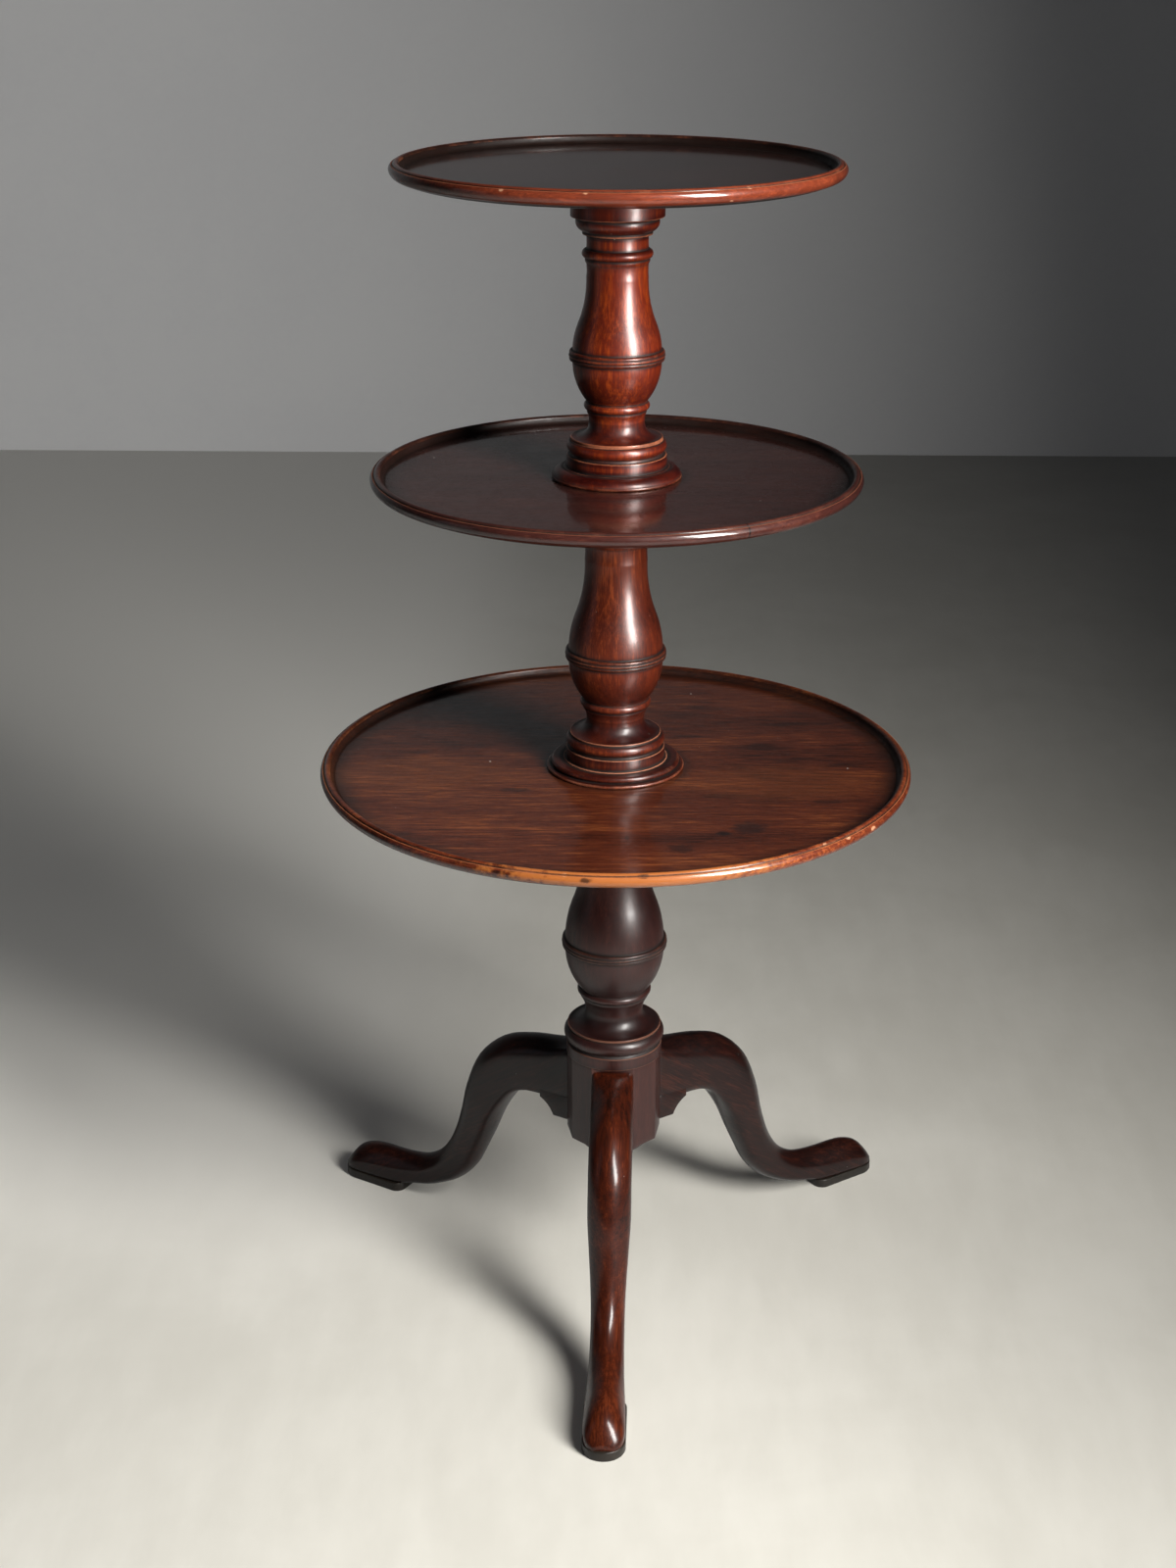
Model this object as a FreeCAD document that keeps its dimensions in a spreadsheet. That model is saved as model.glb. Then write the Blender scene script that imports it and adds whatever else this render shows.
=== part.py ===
"""Three-tier revolving dumbwaiter: dished round trays on turned columns and a tripod of legs.

Frame: millimetres, +Z up, origin on the column axis at floor level, front leg towards -Y.
Every size is a cell of the Sizes sheet. The sketches, placements and solids read those cells.
"""
import FreeCAD, Part
import math
import os
import Sketcher

doc = FreeCAD.newDocument("tiered_side_table")
sheet = doc.addObject("Spreadsheet::Sheet", "Sizes")

SIZES = {
    # trays
    "LowerTrayRadius": 285.0,
    "MiddleTrayRadius": 228.0,
    "TopTrayRadius": 202.5,
    "TrayThickness": 17.5,
    "DishDepth": 8.0,
    "UndersideCurveWidth": 26.0,
    "RimArrisInset": 2.5,
    "RimArrisDrop": 1.9,
    "RimBeadWidth": 6.0,
    "RimBeadCrown": 2.0,
    "RimGrooveWidth": 1.1,
    "RimGrooveDepth": 0.8,
    "RimCoveWidth": 4.2,
    # collars under the trays and their screws
    "CollarRadius": 60.0,
    "CollarThickness": 14.0,
    "CollarMouldingWidth": 8.0,
    "ScrewCircleRadius": 46.0,
    "ScrewShankRadius": 2.2,
    "ScrewHeadRadius": 4.4,
    "ScrewHeadHeight": 2.6,
    "ScrewBite": 6.0,
    "ScrewFit": 0.05,
    # turned joints
    "SpigotRadius": 15.0,
    "RunningFit": 0.08,
    "GlueLine": 0.05,
    "TurningGap": 0.2,
    "JointDepth": 30.0,
    "JointEndRoom": 1.0,
    "TopBoreDepth": 4.0,
    # lower column
    "LowerColumnLength": 378.9,
    "LowerTorusRadius": 50.6,
    "LowerTorusHeight": 15.2,
    "LowerWaistRadius": 29.3,
    "LowerWaistHeight": 143.0,
    "LowerRingRadius": 37.1,
    "LowerRingHeight": 161.6,
    "LowerBellyRadius": 52.75,
    "LowerBellyHeight": 214.6,
    "LowerShaftRadius": 31.0,
    "LowerShaftHeight": 321.6,
    "LowerNeckHeight": 13.0,
    "LowerBandHeight": 16.9,
    # middle column
    "MiddleColumnLength": 263.1,
    "MiddleFlangeRadius": 65.5,
    "MiddleDrumRadius": 47.5,
    "MiddleTorusRadius": 47.4,
    "MiddleTorusHeight": 9.6,
    "MiddleWaistRadius": 28.3,
    "MiddleWaistHeight": 53.0,
    "MiddleRingRadius": 33.9,
    "MiddleRingHeight": 66.5,
    "MiddleBellyRadius": 48.4,
    "MiddleBellyHeight": 115.0,
    "MiddleShaftRadius": 29.6,
    "MiddleShaftHeight": 208.0,
    "MiddleNeckHeight": 2.5,
    "MiddleBandHeight": 8.9,
    # upper column
    "UpperColumnLength": 253.6,
    "UpperFlangeRadius": 59.5,
    "UpperDrumRadius": 46.2,
    "UpperTorusRadius": 46.1,
    "UpperTorusHeight": 11.3,
    "UpperWaistRadius": 25.7,
    "UpperWaistHeight": 53.0,
    "UpperRingRadius": 30.3,
    "UpperRingHeight": 66.7,
    "UpperBellyRadius": 44.1,
    "UpperBellyHeight": 112.8,
    "UpperShaftRadius": 28.1,
    "UpperShaftHeight": 183.0,
    "UpperNeckHeight": 13.0,
    "UpperBandHeight": 16.9,
    # mouldings that the columns share
    "FlangeEdgeHeight": 3.0,
    "FlangeTopHeight": 10.4,
    "DrumHeight": 11.0,
    "GrooveHeight": 2.6,
    "GrooveDepth": 2.8,
    "FilletHeight": 2.5,
    "FilletInset": 3.6,
    "SmallRingHeight": 7.6,
    "SmallRingProud": 2.8,
    "BellyRingHeight": 9.6,
    "BellyRingProud": 3.3,
    "BellyReedDepth": 0.9,
    "AstragalHeight": 8.0,
    "AstragalProud": 4.0,
    "CapitalRadius": 42.4,
    "CapitalOvoloHeight": 9.9,
    "CapitalOvoloWidth": 6.0,
    "CapitalFilletHeight": 2.9,
    "CapitalFilletProud": 3.6,
    # leg block and its cap
    "BlockRadius": 48.3,
    "BlockBottomHeight": 154.4,
    "BlockLength": 103.9,
    "BlockFacetLength": 91.6,
    "CapRadius": 35.0,
    "CapThickness": 15.0,
    "CapRoundHeight": 8.0,
    "CapRoundWidth": 9.0,
    # legs
    "FrontLegBearing": 268.6,
    "RightLegBearing": 34.2,
    "LeftLegBearing": 149.0,
    "LegSeatDistance": 43.1,
    "LegTopHeight": 242.0,
    "LegReach": 344.4,
    "LegWidth": 42.4,
    "AnkleWidth": 33.0,
    "FootWidth": 40.0,
    "BracketBottomHeight": 160.0,
    "BracketSetBack": 0.3,
    "BracketReach": 18.0,
    "BracketCurveWidth": 16.4,
    "BracketCurveHeight": 17.2,
    "DovetailNeckWidth": 14.0,
    "DovetailEndWidth": 20.0,
    "DovetailDepth": 15.0,
    "DovetailRoot": 8.0,
    "DovetailHeight": 73.6,
    # pads under the feet
    "PadHeight": 10.0,
    "PadWidth": 41.5,
    "PadToeProud": 1.2,
    "PadLength": 82.2,
    "PadHeelCorner": 11.0,
    "PadEdgeRound": 1.2,
}

for row, (alias, number) in enumerate(SIZES.items(), start=1):
    sheet.set("A%d" % row, alias)
    sheet.set("B%d" % row, str(number))
    sheet.setAlias("B%d" % row, alias)
doc.recompute()


class Size:
    """A length with the sheet expression that gives it, so a shape is drawn right and stays bound."""

    def __init__(self, value, text):
        self.value = value
        self.text = text

    def __add__(self, other):
        other = as_size(other)
        return Size(self.value + other.value, "(%s + %s)" % (self.text, other.text))

    def __sub__(self, other):
        other = as_size(other)
        return Size(self.value - other.value, "(%s - %s)" % (self.text, other.text))

    def __mul__(self, other):
        other = as_size(other)
        return Size(self.value * other.value, "%s * %s" % (self.text, other.text))

    def __truediv__(self, other):
        other = as_size(other)
        return Size(self.value / other.value, "%s / (%s)" % (self.text, other.text))

    def __neg__(self):
        return Size(-self.value, "(0 - %s)" % self.text)

    def cos(self):
        return Size(math.cos(math.radians(self.value)), "cos(%s)" % self.text)

    def sin(self):
        return Size(math.sin(math.radians(self.value)), "sin(%s)" % self.text)


def as_size(number):
    return number if isinstance(number, Size) else Size(float(number), repr(float(number)))


def size(alias):
    return Size(float(sheet.get(alias)), "Sizes.%s" % alias)


ZERO = as_size(0)
HALF = 0.5


def bind(thing, prop, amount):
    """Ties a property to the sheet."""
    thing.setExpression(prop, as_size(amount).text)


# ---------------------------------------------------------------- sketches

def new_body(name):
    body = doc.addObject("PartDesign::Body", name)
    body.Label = name
    return body


def origin_plane(body, role):
    return [item for item in body.Origin.OriginFeatures if item.Role == role][0]


def new_sketch(body, name, role, height=None):
    """A sketch on one of the body's origin planes, lifted along the plane's normal if asked."""
    sketch = body.newObject("Sketcher::SketchObject", name)
    sketch.AttachmentSupport = [(origin_plane(body, role), "")]
    sketch.MapMode = "FlatFace"
    if height is not None:
        bind(sketch, "AttachmentOffset.Base.z", height)
    return sketch


# the sketcher numbers the points of an edge in this order, and its axes count down from -1
EDGE_POINTS = ["whole", "start", "end", "centre"]
SKETCH_AXES = ["origin", "horizontal", "vertical"]


def draw_outline(sketch, stops):
    """Closed outline through stops (x, y) or (x, y, rise).

    A rise makes the stretch that arrives at the stop an arc, bowed by that much to the right of the
    way it is drawn. Outlines of solids run anticlockwise, so a positive rise swells.
    """
    stops = [tuple(as_size(item) for item in stop) for stop in stops]
    edges = []
    for index, stop in enumerate(stops):
        start = stops[index - 1]
        first = FreeCAD.Vector(start[0].value, start[1].value, 0)
        last = FreeCAD.Vector(stop[0].value, stop[1].value, 0)
        if len(stop) == 2:
            edges.append(Part.LineSegment(first, last))
            continue
        run = last - first
        side = FreeCAD.Vector(run.y, -run.x, 0).normalize()
        middle = (first + last) * HALF + side * stop[2].value
        edges.append(Part.Arc(first, middle, last))
    sketch.addGeometry(edges, False)
    count = len(stops)
    start_point = EDGE_POINTS.index("start")
    end_point = EDGE_POINTS.index("end")
    flat_axis = -SKETCH_AXES.index("horizontal")
    upright_axis = -SKETCH_AXES.index("vertical")
    for index, stop in enumerate(stops):
        # which end of an arc FreeCAD calls its start depends on the way it turns
        begins = start_point
        ends = end_point
        if len(stop) == 3 and stop[2].value < 0:
            begins, ends = end_point, start_point
        following = stops[(index + 1) % count]
        next_begins = end_point if len(following) == 3 and following[2].value < 0 else start_point
        next_edge = (index + 1) % count
        sketch.addConstraint(Sketcher.Constraint("Coincident", index, ends, next_edge, next_begins))
        for kind, amount, axis in (("DistanceX", stop[0], upright_axis), ("DistanceY", stop[1], flat_axis)):
            if amount.text == ZERO.text:
                sketch.addConstraint(Sketcher.Constraint("PointOnObject", index, ends, axis))
                continue
            number = sketch.addConstraint(
                Sketcher.Constraint(kind, flat_axis, start_point, index, ends, amount.value))
            bind(sketch, "Constraints[%d]" % number, amount)
        if len(stop) == 3:
            across = stop[0] - stops[index - 1][0]
            along = stop[1] - stops[index - 1][1]
            rise = stop[2] if stop[2].value > 0 else -stop[2]
            radius = (across * across + along * along + rise * rise * 4) / (rise * 8)
            number = sketch.addConstraint(Sketcher.Constraint("Radius", index, radius.value))
            bind(sketch, "Constraints[%d]" % number, radius)


def turned(body, name, stops):
    """A lathe-turned solid: the outline of (radius, height) stops goes round the body's Z axis."""
    sketch = new_sketch(body, name + "_outline", "XZ_Plane")
    draw_outline(sketch, stops)
    turning = body.newObject("PartDesign::Revolution", name + "_turning")
    turning.Profile = sketch
    turning.ReferenceAxis = (sketch, ["V_Axis"])
    turning.Angle = 360.0
    body.Tip = turning
    doc.recompute()
    return turning


def padded(body, name, role, stops, length, height=None, midplane=False):
    sketch = new_sketch(body, name + "_outline", role, height)
    draw_outline(sketch, stops)
    pad = body.newObject("PartDesign::Pad", name)
    pad.Profile = sketch
    pad.Midplane = midplane
    bind(pad, "Length", length)
    body.Tip = pad
    doc.recompute()
    return pad


def pocketed(body, name, draw, length, height):
    """Cuts what draw() sketches upwards from the given height, and checks that something went."""
    before = body.Shape.Volume
    sketch = new_sketch(body, name + "_outline", "XY_Plane", height)
    draw(sketch)
    pocket = body.newObject("PartDesign::Pocket", name)
    pocket.Profile = sketch
    pocket.Reversed = True
    bind(pocket, "Length", length)
    body.Tip = pocket
    doc.recompute()
    if body.Shape.Volume >= before:
        raise RuntimeError(name + " cut nothing")
    return pocket


# ---------------------------------------------------------------- heights of the stack

column_bottom = {"Lower": size("BlockBottomHeight")}
tray_bottom = {}
floor_thickness = size("TrayThickness") - size("DishDepth")
for tier, above in (("Lower", "Middle"), ("Middle", "Upper"), ("Upper", None)):
    column_top = column_bottom[tier] + size(tier + "ColumnLength")
    tray_bottom[tier] = column_top + size("TurningGap") + size("CollarThickness")
    if above:
        column_bottom[above] = tray_bottom[tier] + floor_thickness + size("TurningGap")

TRAY_OF = {"Lower": "lower", "Middle": "middle", "Upper": "top"}
TRAY_SIZE = {"Lower": "LowerTrayRadius", "Middle": "MiddleTrayRadius", "Upper": "TopTrayRadius"}


# ---------------------------------------------------------------- turned columns

# shares of a vase's own width and height at which its shoulder turns into its neck
TURN_RADIUS_SHARE = 0.58
TURN_HEIGHT_SHARE = 0.415
# how far each stretch bows, as a share of its height
LOWER_SWELL_SHARE = 0.085
SHOULDER_SWELL_SHARE = 0.042
NECK_HOLLOW_SHARE = 0.052
BELLY_REEDS = 3
# small hollows where a moulding springs from its neighbour
RING_HOLLOW = 0.6
ASTRAGAL_HOLLOW = 0.4
CAPITAL_HOLLOW = 0.3


def vase_outline(tier):
    """From the waist up to the capital: scotia, ring, vase with its belly ring, shaft and astragal."""
    waist = size(tier + "WaistRadius")
    ring = size(tier + "RingRadius")
    ring_height = size(tier + "RingHeight")
    belly = size(tier + "BellyRadius")
    belly_height = size(tier + "BellyHeight")
    shaft = size(tier + "ShaftRadius")
    shaft_height = size(tier + "ShaftHeight")
    half_ring = size("SmallRingHeight") * HALF
    proud = size("SmallRingProud")
    reed = size("BellyRingHeight") / BELLY_REEDS
    vase = belly - size("BellyRingProud")
    groove = belly - size("BellyReedDepth")
    edge = groove - size("BellyReedDepth")
    belly_foot = belly_height - size("BellyRingHeight") * HALF
    belly_top = belly_foot + size("BellyRingHeight")
    turn_radius = shaft + (vase - shaft) * TURN_RADIUS_SHARE
    turn_height = belly_height + (shaft_height - belly_height) * TURN_HEIGHT_SHARE
    lower_swell = (belly_foot - ring_height) * LOWER_SWELL_SHARE
    shoulder_swell = (turn_height - belly_top) * SHOULDER_SWELL_SHARE
    neck_hollow = (shaft_height - turn_height) * NECK_HOLLOW_SHARE
    reed_swell = size("BellyReedDepth")
    collar = shaft + size("FilletHeight") * HALF
    astragal = shaft + size("AstragalProud")
    capital_foot = (size(tier + "ColumnLength") - size(tier + "BandHeight") - size("CapitalOvoloHeight")
                    - size("CapitalFilletHeight") * 2)
    astragal_top = capital_foot - size(tier + "NeckHeight")
    astragal_foot = astragal_top - size("AstragalHeight")
    return [
        (waist, size(tier + "WaistHeight")),
        (ring - proud, ring_height - half_ring - size("FilletHeight"), -RING_HOLLOW),
        (ring - proud, ring_height - half_ring),
        (ring - proud, ring_height + half_ring, proud),
        (vase, belly_foot, lower_swell),
        (edge, belly_foot),
        (groove, belly_foot + reed, reed_swell),
        (groove, belly_foot + reed * 2, reed_swell),
        (edge, belly_top, reed_swell),
        (vase, belly_top),
        (turn_radius, turn_height, shoulder_swell),
        (shaft, shaft_height, -neck_hollow),
        (shaft, astragal_foot - size("FilletHeight") * 2, -ASTRAGAL_HOLLOW),
        (collar, astragal_foot - size("FilletHeight")),
        (collar, astragal_foot),
        (collar, astragal_top, astragal - collar),
        (shaft, astragal_top),
        (shaft, capital_foot, -CAPITAL_HOLLOW),
    ]


OVOLO_ROUNDNESS = 0.36


def capital_outline(tier):
    """Fillet, ovolo and plain band that carry the tray collar, with the spigot above them."""
    shaft = size(tier + "ShaftRadius")
    top = size(tier + "ColumnLength")
    band_foot = top - size(tier + "BandHeight")
    ovolo_top = band_foot - size("CapitalFilletHeight")
    ovolo_foot = ovolo_top - size("CapitalOvoloHeight")
    fillet = shaft + size("CapitalFilletProud")
    ovolo = fillet + size("CapitalOvoloWidth")
    spigot = size("SpigotRadius")
    if tier == "Upper":
        spigot_top = top + size("TurningGap") + size("CollarThickness") + size("TopBoreDepth") * HALF
    else:
        spigot_top = (top + size("TurningGap") * 2 + size("CollarThickness") + floor_thickness
                      + size("JointDepth") - size("JointEndRoom"))
    return [
        (fillet, ovolo_foot - size("CapitalFilletHeight")),
        (fillet, ovolo_foot),
        (ovolo, ovolo_top, size("CapitalOvoloWidth") * OVOLO_ROUNDNESS),
        (ovolo, band_foot - size("CapitalFilletHeight") * HALF),
        (size("CapitalRadius"), band_foot),
        (size("CapitalRadius"), top),
        (spigot, top),
        (spigot, spigot_top),
        (ZERO, spigot_top),
    ]


TORUS_DEPTH_SHARE = 0.32
SCOTIA_HOLLOW_SHARE = 0.36


def torus_and_scotia(tier, foot):
    """Groove, torus and fillet, then the hollow that runs in to the waist."""
    torus = size(tier + "TorusRadius")
    torus_height = size(tier + "TorusHeight")
    inner = torus - torus_height * TORUS_DEPTH_SHARE
    torus_foot = foot + size("GrooveHeight")
    torus_top = torus_foot + torus_height
    fillet = torus - size("FilletInset")
    scotia = (size(tier + "WaistHeight") - torus_top - size("FilletHeight")) * SCOTIA_HOLLOW_SHARE
    return [
        (torus - size("GrooveDepth"), foot),
        (inner, torus_foot),
        (inner, torus_top, torus - inner),
        (fillet, torus_top),
        (fillet, torus_top + size("FilletHeight")),
        (fillet - size("FilletHeight") * HALF, torus_top + size("FilletHeight")),
    ], scotia


FLANGE_STEP = 0.9
FLANGE_BEAD_SHARE = 0.68
FLANGE_EDGE_SWELL = 0.3
FLANGE_SLOPE_SWELL = 0.16
DRUM_SWELL = 0.3


def foot_outline(tier):
    """Socket in the underside, then the spreading foot flange and the drum."""
    socket = size("SpigotRadius") + size("GlueLine")
    flange = size(tier + "FlangeRadius")
    drum = size(tier + "DrumRadius")
    edge = size("FlangeEdgeHeight")
    flange_top = size("FlangeTopHeight")
    drum_top = flange_top + size("DrumHeight")
    bead = drum + (flange - drum) * FLANGE_BEAD_SHARE
    step = edge + FLANGE_STEP
    outline = [
        (ZERO, size("JointDepth")),
        (socket, size("JointDepth")),
        (socket, ZERO),
        (flange, ZERO),
        (flange, edge, edge * FLANGE_EDGE_SWELL),
    ]
    if tier == "Middle":
        outline += [
            (bead, step),
            (bead, flange_top - FLANGE_STEP, (flange_top - edge) * FLANGE_EDGE_SWELL),
            (drum + FLANGE_STEP * 3, flange_top - FLANGE_STEP),
        ]
    else:
        outline += [(drum + FLANGE_STEP * 4, flange_top - FLANGE_STEP, (flange - drum) * FLANGE_SLOPE_SWELL)]
    outline += [
        (drum + FLANGE_STEP * 3, flange_top),
        (drum, flange_top),
        (drum, drum_top, DRUM_SWELL),
    ]
    return outline, drum_top


def make_column(tier, name):
    """Upper and middle columns: foot, torus, vase and capital, turned in one piece with the spigot."""
    body = new_body(name)
    foot, drum_top = foot_outline(tier)
    mouldings, scotia = torus_and_scotia(tier, drum_top)
    vase = vase_outline(tier)
    vase[0] = vase[0] + (-scotia,)
    turned(body, name, foot + mouldings + vase + capital_outline(tier))
    bind(body, "Placement.Base.z", column_bottom[tier])
    return body


LEG_BEARINGS = ["FrontLegBearing", "RightLegBearing", "LeftLegBearing"]
FULL_TURN = 360


def around(bearing, out, across):
    """Sheet coordinates of a point at distance out along a bearing and across to its left."""
    return (bearing.cos() * out - bearing.sin() * across, bearing.sin() * out + bearing.cos() * across)


def draw_facets(sketch):
    """Everything outside the nine-sided block: a seat for each leg and two flats between seats."""
    corners = []
    half_seat = size("LegWidth") * HALF
    for index, alias in enumerate(LEG_BEARINGS):
        bearing = size(alias)
        following = size(LEG_BEARINGS[(index + 1) % len(LEG_BEARINGS)])
        if following.value < bearing.value:
            following = following + FULL_TURN
        corners.append(around(bearing, size("LegSeatDistance"), -half_seat))
        corners.append(around(bearing, size("LegSeatDistance"), half_seat))
        corners.append(around((bearing + following) * HALF, size("BlockRadius"), ZERO))
    draw_outline(sketch, corners)
    rim = sketch.addGeometry(Part.Circle(FreeCAD.Vector(), FreeCAD.Vector(0, 0, 1),
                                         (size("BlockRadius") * 2).value), False)
    sketch.addConstraint(Sketcher.Constraint(
        "Coincident", rim, EDGE_POINTS.index("centre"),
        -SKETCH_AXES.index("horizontal"), EDGE_POINTS.index("start")))
    number = sketch.addConstraint(Sketcher.Constraint("Radius", rim, (size("BlockRadius") * 2).value))
    bind(sketch, "Constraints[%d]" % number, size("BlockRadius") * 2)


def dovetail_corners(bearing, fit):
    """The dovetail in plan, from its root outside the seat, through the neck, to the wide inner end."""
    seat = size("LegSeatDistance")
    neck = size("DovetailNeckWidth") * HALF + fit
    end = size("DovetailEndWidth") * HALF + fit
    root = seat + size("DovetailRoot")
    inner = seat - size("DovetailDepth") - fit
    return [
        around(bearing, root, -neck),
        around(bearing, root, neck),
        around(bearing, seat, neck),
        around(bearing, inner, end),
        around(bearing, inner, -end),
        around(bearing, seat, -neck),
    ]


def make_lower_column():
    """The lowest column and the block for the legs are one turning, cut with flats and dovetails."""
    name = "lower_column"
    body = new_body(name)
    mouldings, scotia = torus_and_scotia("Lower", size("BlockLength"))
    vase = vase_outline("Lower")
    vase[0] = vase[0] + (-scotia,)
    block = [
        (ZERO, ZERO),
        (size("BlockRadius"), ZERO),
        (size("BlockRadius"), size("BlockLength")),
    ]
    turned(body, name, block + mouldings + vase + capital_outline("Lower"))
    pocketed(body, "block_flats", draw_facets, size("BlockFacetLength"), ZERO)
    for alias in LEG_BEARINGS:
        corners = dovetail_corners(size(alias), size("GlueLine"))
        pocketed(body, "housing_" + alias, lambda sketch: draw_outline(sketch, corners),
                 size("DovetailHeight") + size("GlueLine"), ZERO)
    bind(body, "Placement.Base.z", column_bottom["Lower"])
    return body


QUARTER_ROUND_RISE = 0.28


def make_block_cap():
    """Turned cap under the block, over the ends of the dovetail housings."""
    name = "block_cap"
    body = new_body(name)
    radius = size("CapRadius")
    foot = -size("CapThickness")
    turned(body, name, [
        (ZERO, ZERO),
        (ZERO, foot),
        (radius - size("CapRoundWidth"), foot),
        (radius, foot + size("CapRoundHeight"), size("CapRoundWidth") * QUARTER_ROUND_RISE),
        (radius, ZERO),
    ])
    bind(body, "Placement.Base.z", size("BlockBottomHeight"))
    return body


# ---------------------------------------------------------------- trays and collars

# the rim's outer face: where it is widest, and where the underside curve turns up into it
WIDEST_SHARE = 1.6
UNDERSIDE_TURN_WIDTH = 0.27
UNDERSIDE_TURN_HEIGHT = 0.22
UNDERSIDE_SWELL = 0.27
EDGE_SWELL = 0.5
ARRIS_SWELL = 0.2
COVE_HOLLOW = 0.3


def make_tray(tier, name):
    """Dished round tray with a beaded rim, turned from one board. Its local z starts at the underside."""
    body = new_body(name)
    radius = size(TRAY_SIZE[tier])
    thick = size("TrayThickness")
    bore = size("SpigotRadius") + size("RunningFit")
    arris = radius - size("RimArrisInset")
    arris_height = thick - size("RimArrisDrop")
    groove = arris - size("RimGrooveWidth")
    bead = groove - size("RimBeadWidth")
    cove = bead - size("RimCoveWidth")
    bead_foot = thick - size("RimBeadCrown")
    widest = arris_height - size("RimArrisInset") * WIDEST_SHARE
    belly = radius - size("UndersideCurveWidth") * UNDERSIDE_TURN_WIDTH
    belly_height = thick * UNDERSIDE_TURN_HEIGHT
    outline = [
        (radius - size("UndersideCurveWidth"), ZERO),
        (belly, belly_height, belly_height * UNDERSIDE_SWELL),
        (radius, widest, belly_height * EDGE_SWELL),
        (arris, arris_height, size("RimArrisInset") * ARRIS_SWELL),
        (groove, bead_foot - size("RimGrooveDepth")),
        (groove, bead_foot),
        (bead, bead_foot, size("RimBeadCrown")),
        (cove, floor_thickness, -(size("RimCoveWidth") * COVE_HOLLOW)),
    ]
    if tier == "Upper":
        outline += [(ZERO, floor_thickness), (ZERO, size("TopBoreDepth")), (bore, size("TopBoreDepth"))]
    else:
        outline += [(bore, floor_thickness)]
    outline += [(bore, ZERO)]
    turned(body, name, outline)
    bind(body, "Placement.Base.z", tray_bottom[tier])
    return body


def make_collar(tier, name):
    """Bearing collar fixed under a tray: it turns on the column's spigot and rests on its capital."""
    body = new_body(name)
    radius = size("CollarRadius")
    bore = size("SpigotRadius") + size("RunningFit")
    moulding = size("CollarMouldingWidth")
    turned(body, name, [
        (bore, ZERO),
        (radius - moulding, ZERO),
        (radius, moulding, moulding * QUARTER_ROUND_RISE),
        (radius, size("CollarThickness")),
        (bore, size("CollarThickness")),
    ])
    bind(body, "Placement.Base.z", tray_bottom[tier] - size("CollarThickness"))
    return body


SCREW_COUNT = 4
FIRST_SCREW_ANGLE = 45
SCREW_STEP = FULL_TURN / SCREW_COUNT


def make_screws(tier, name, fit):
    """Countersunk wood screws up through the collar into the tray. With a fit they are the holes."""
    foot = tray_bottom[tier] - size("CollarThickness")
    solids = []
    for index in range(SCREW_COUNT):
        angle = as_size(FIRST_SCREW_ANGLE + SCREW_STEP * index)
        across, along = around(angle, size("ScrewCircleRadius"), ZERO)
        head = doc.addObject("Part::Cone", "%s_head_%d" % (name, index))
        bind(head, "Radius1", size("ScrewHeadRadius") + fit)
        bind(head, "Radius2", size("ScrewShankRadius") + fit)
        bind(head, "Height", size("ScrewHeadHeight"))
        shank = doc.addObject("Part::Cylinder", "%s_shank_%d" % (name, index))
        bind(shank, "Radius", size("ScrewShankRadius") + fit)
        bind(shank, "Height", size("CollarThickness") + size("ScrewBite") + fit)
        for piece in (head, shank):
            bind(piece, "Placement.Base.x", across)
            bind(piece, "Placement.Base.y", along)
            bind(piece, "Placement.Base.z", foot)
        screw = doc.addObject("Part::Fuse", "%s_%d" % (name, index))
        screw.Base = head
        screw.Tool = shank
        solids.append(screw)
    group = doc.addObject("Part::Compound", name)
    group.Links = solids
    group.Label = name
    return group


def bored(blank, holes, name):
    """The blank with the screw holes cut out of it."""
    blank.Label = name + "_blank"
    cut = doc.addObject("Part::Cut", name + "_bored")
    cut.Base = blank
    cut.Tool = holes
    cut.Label = name
    return cut


# ---------------------------------------------------------------- legs and pads

def mix(first, second, share):
    return first + (second - first) * share


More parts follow.
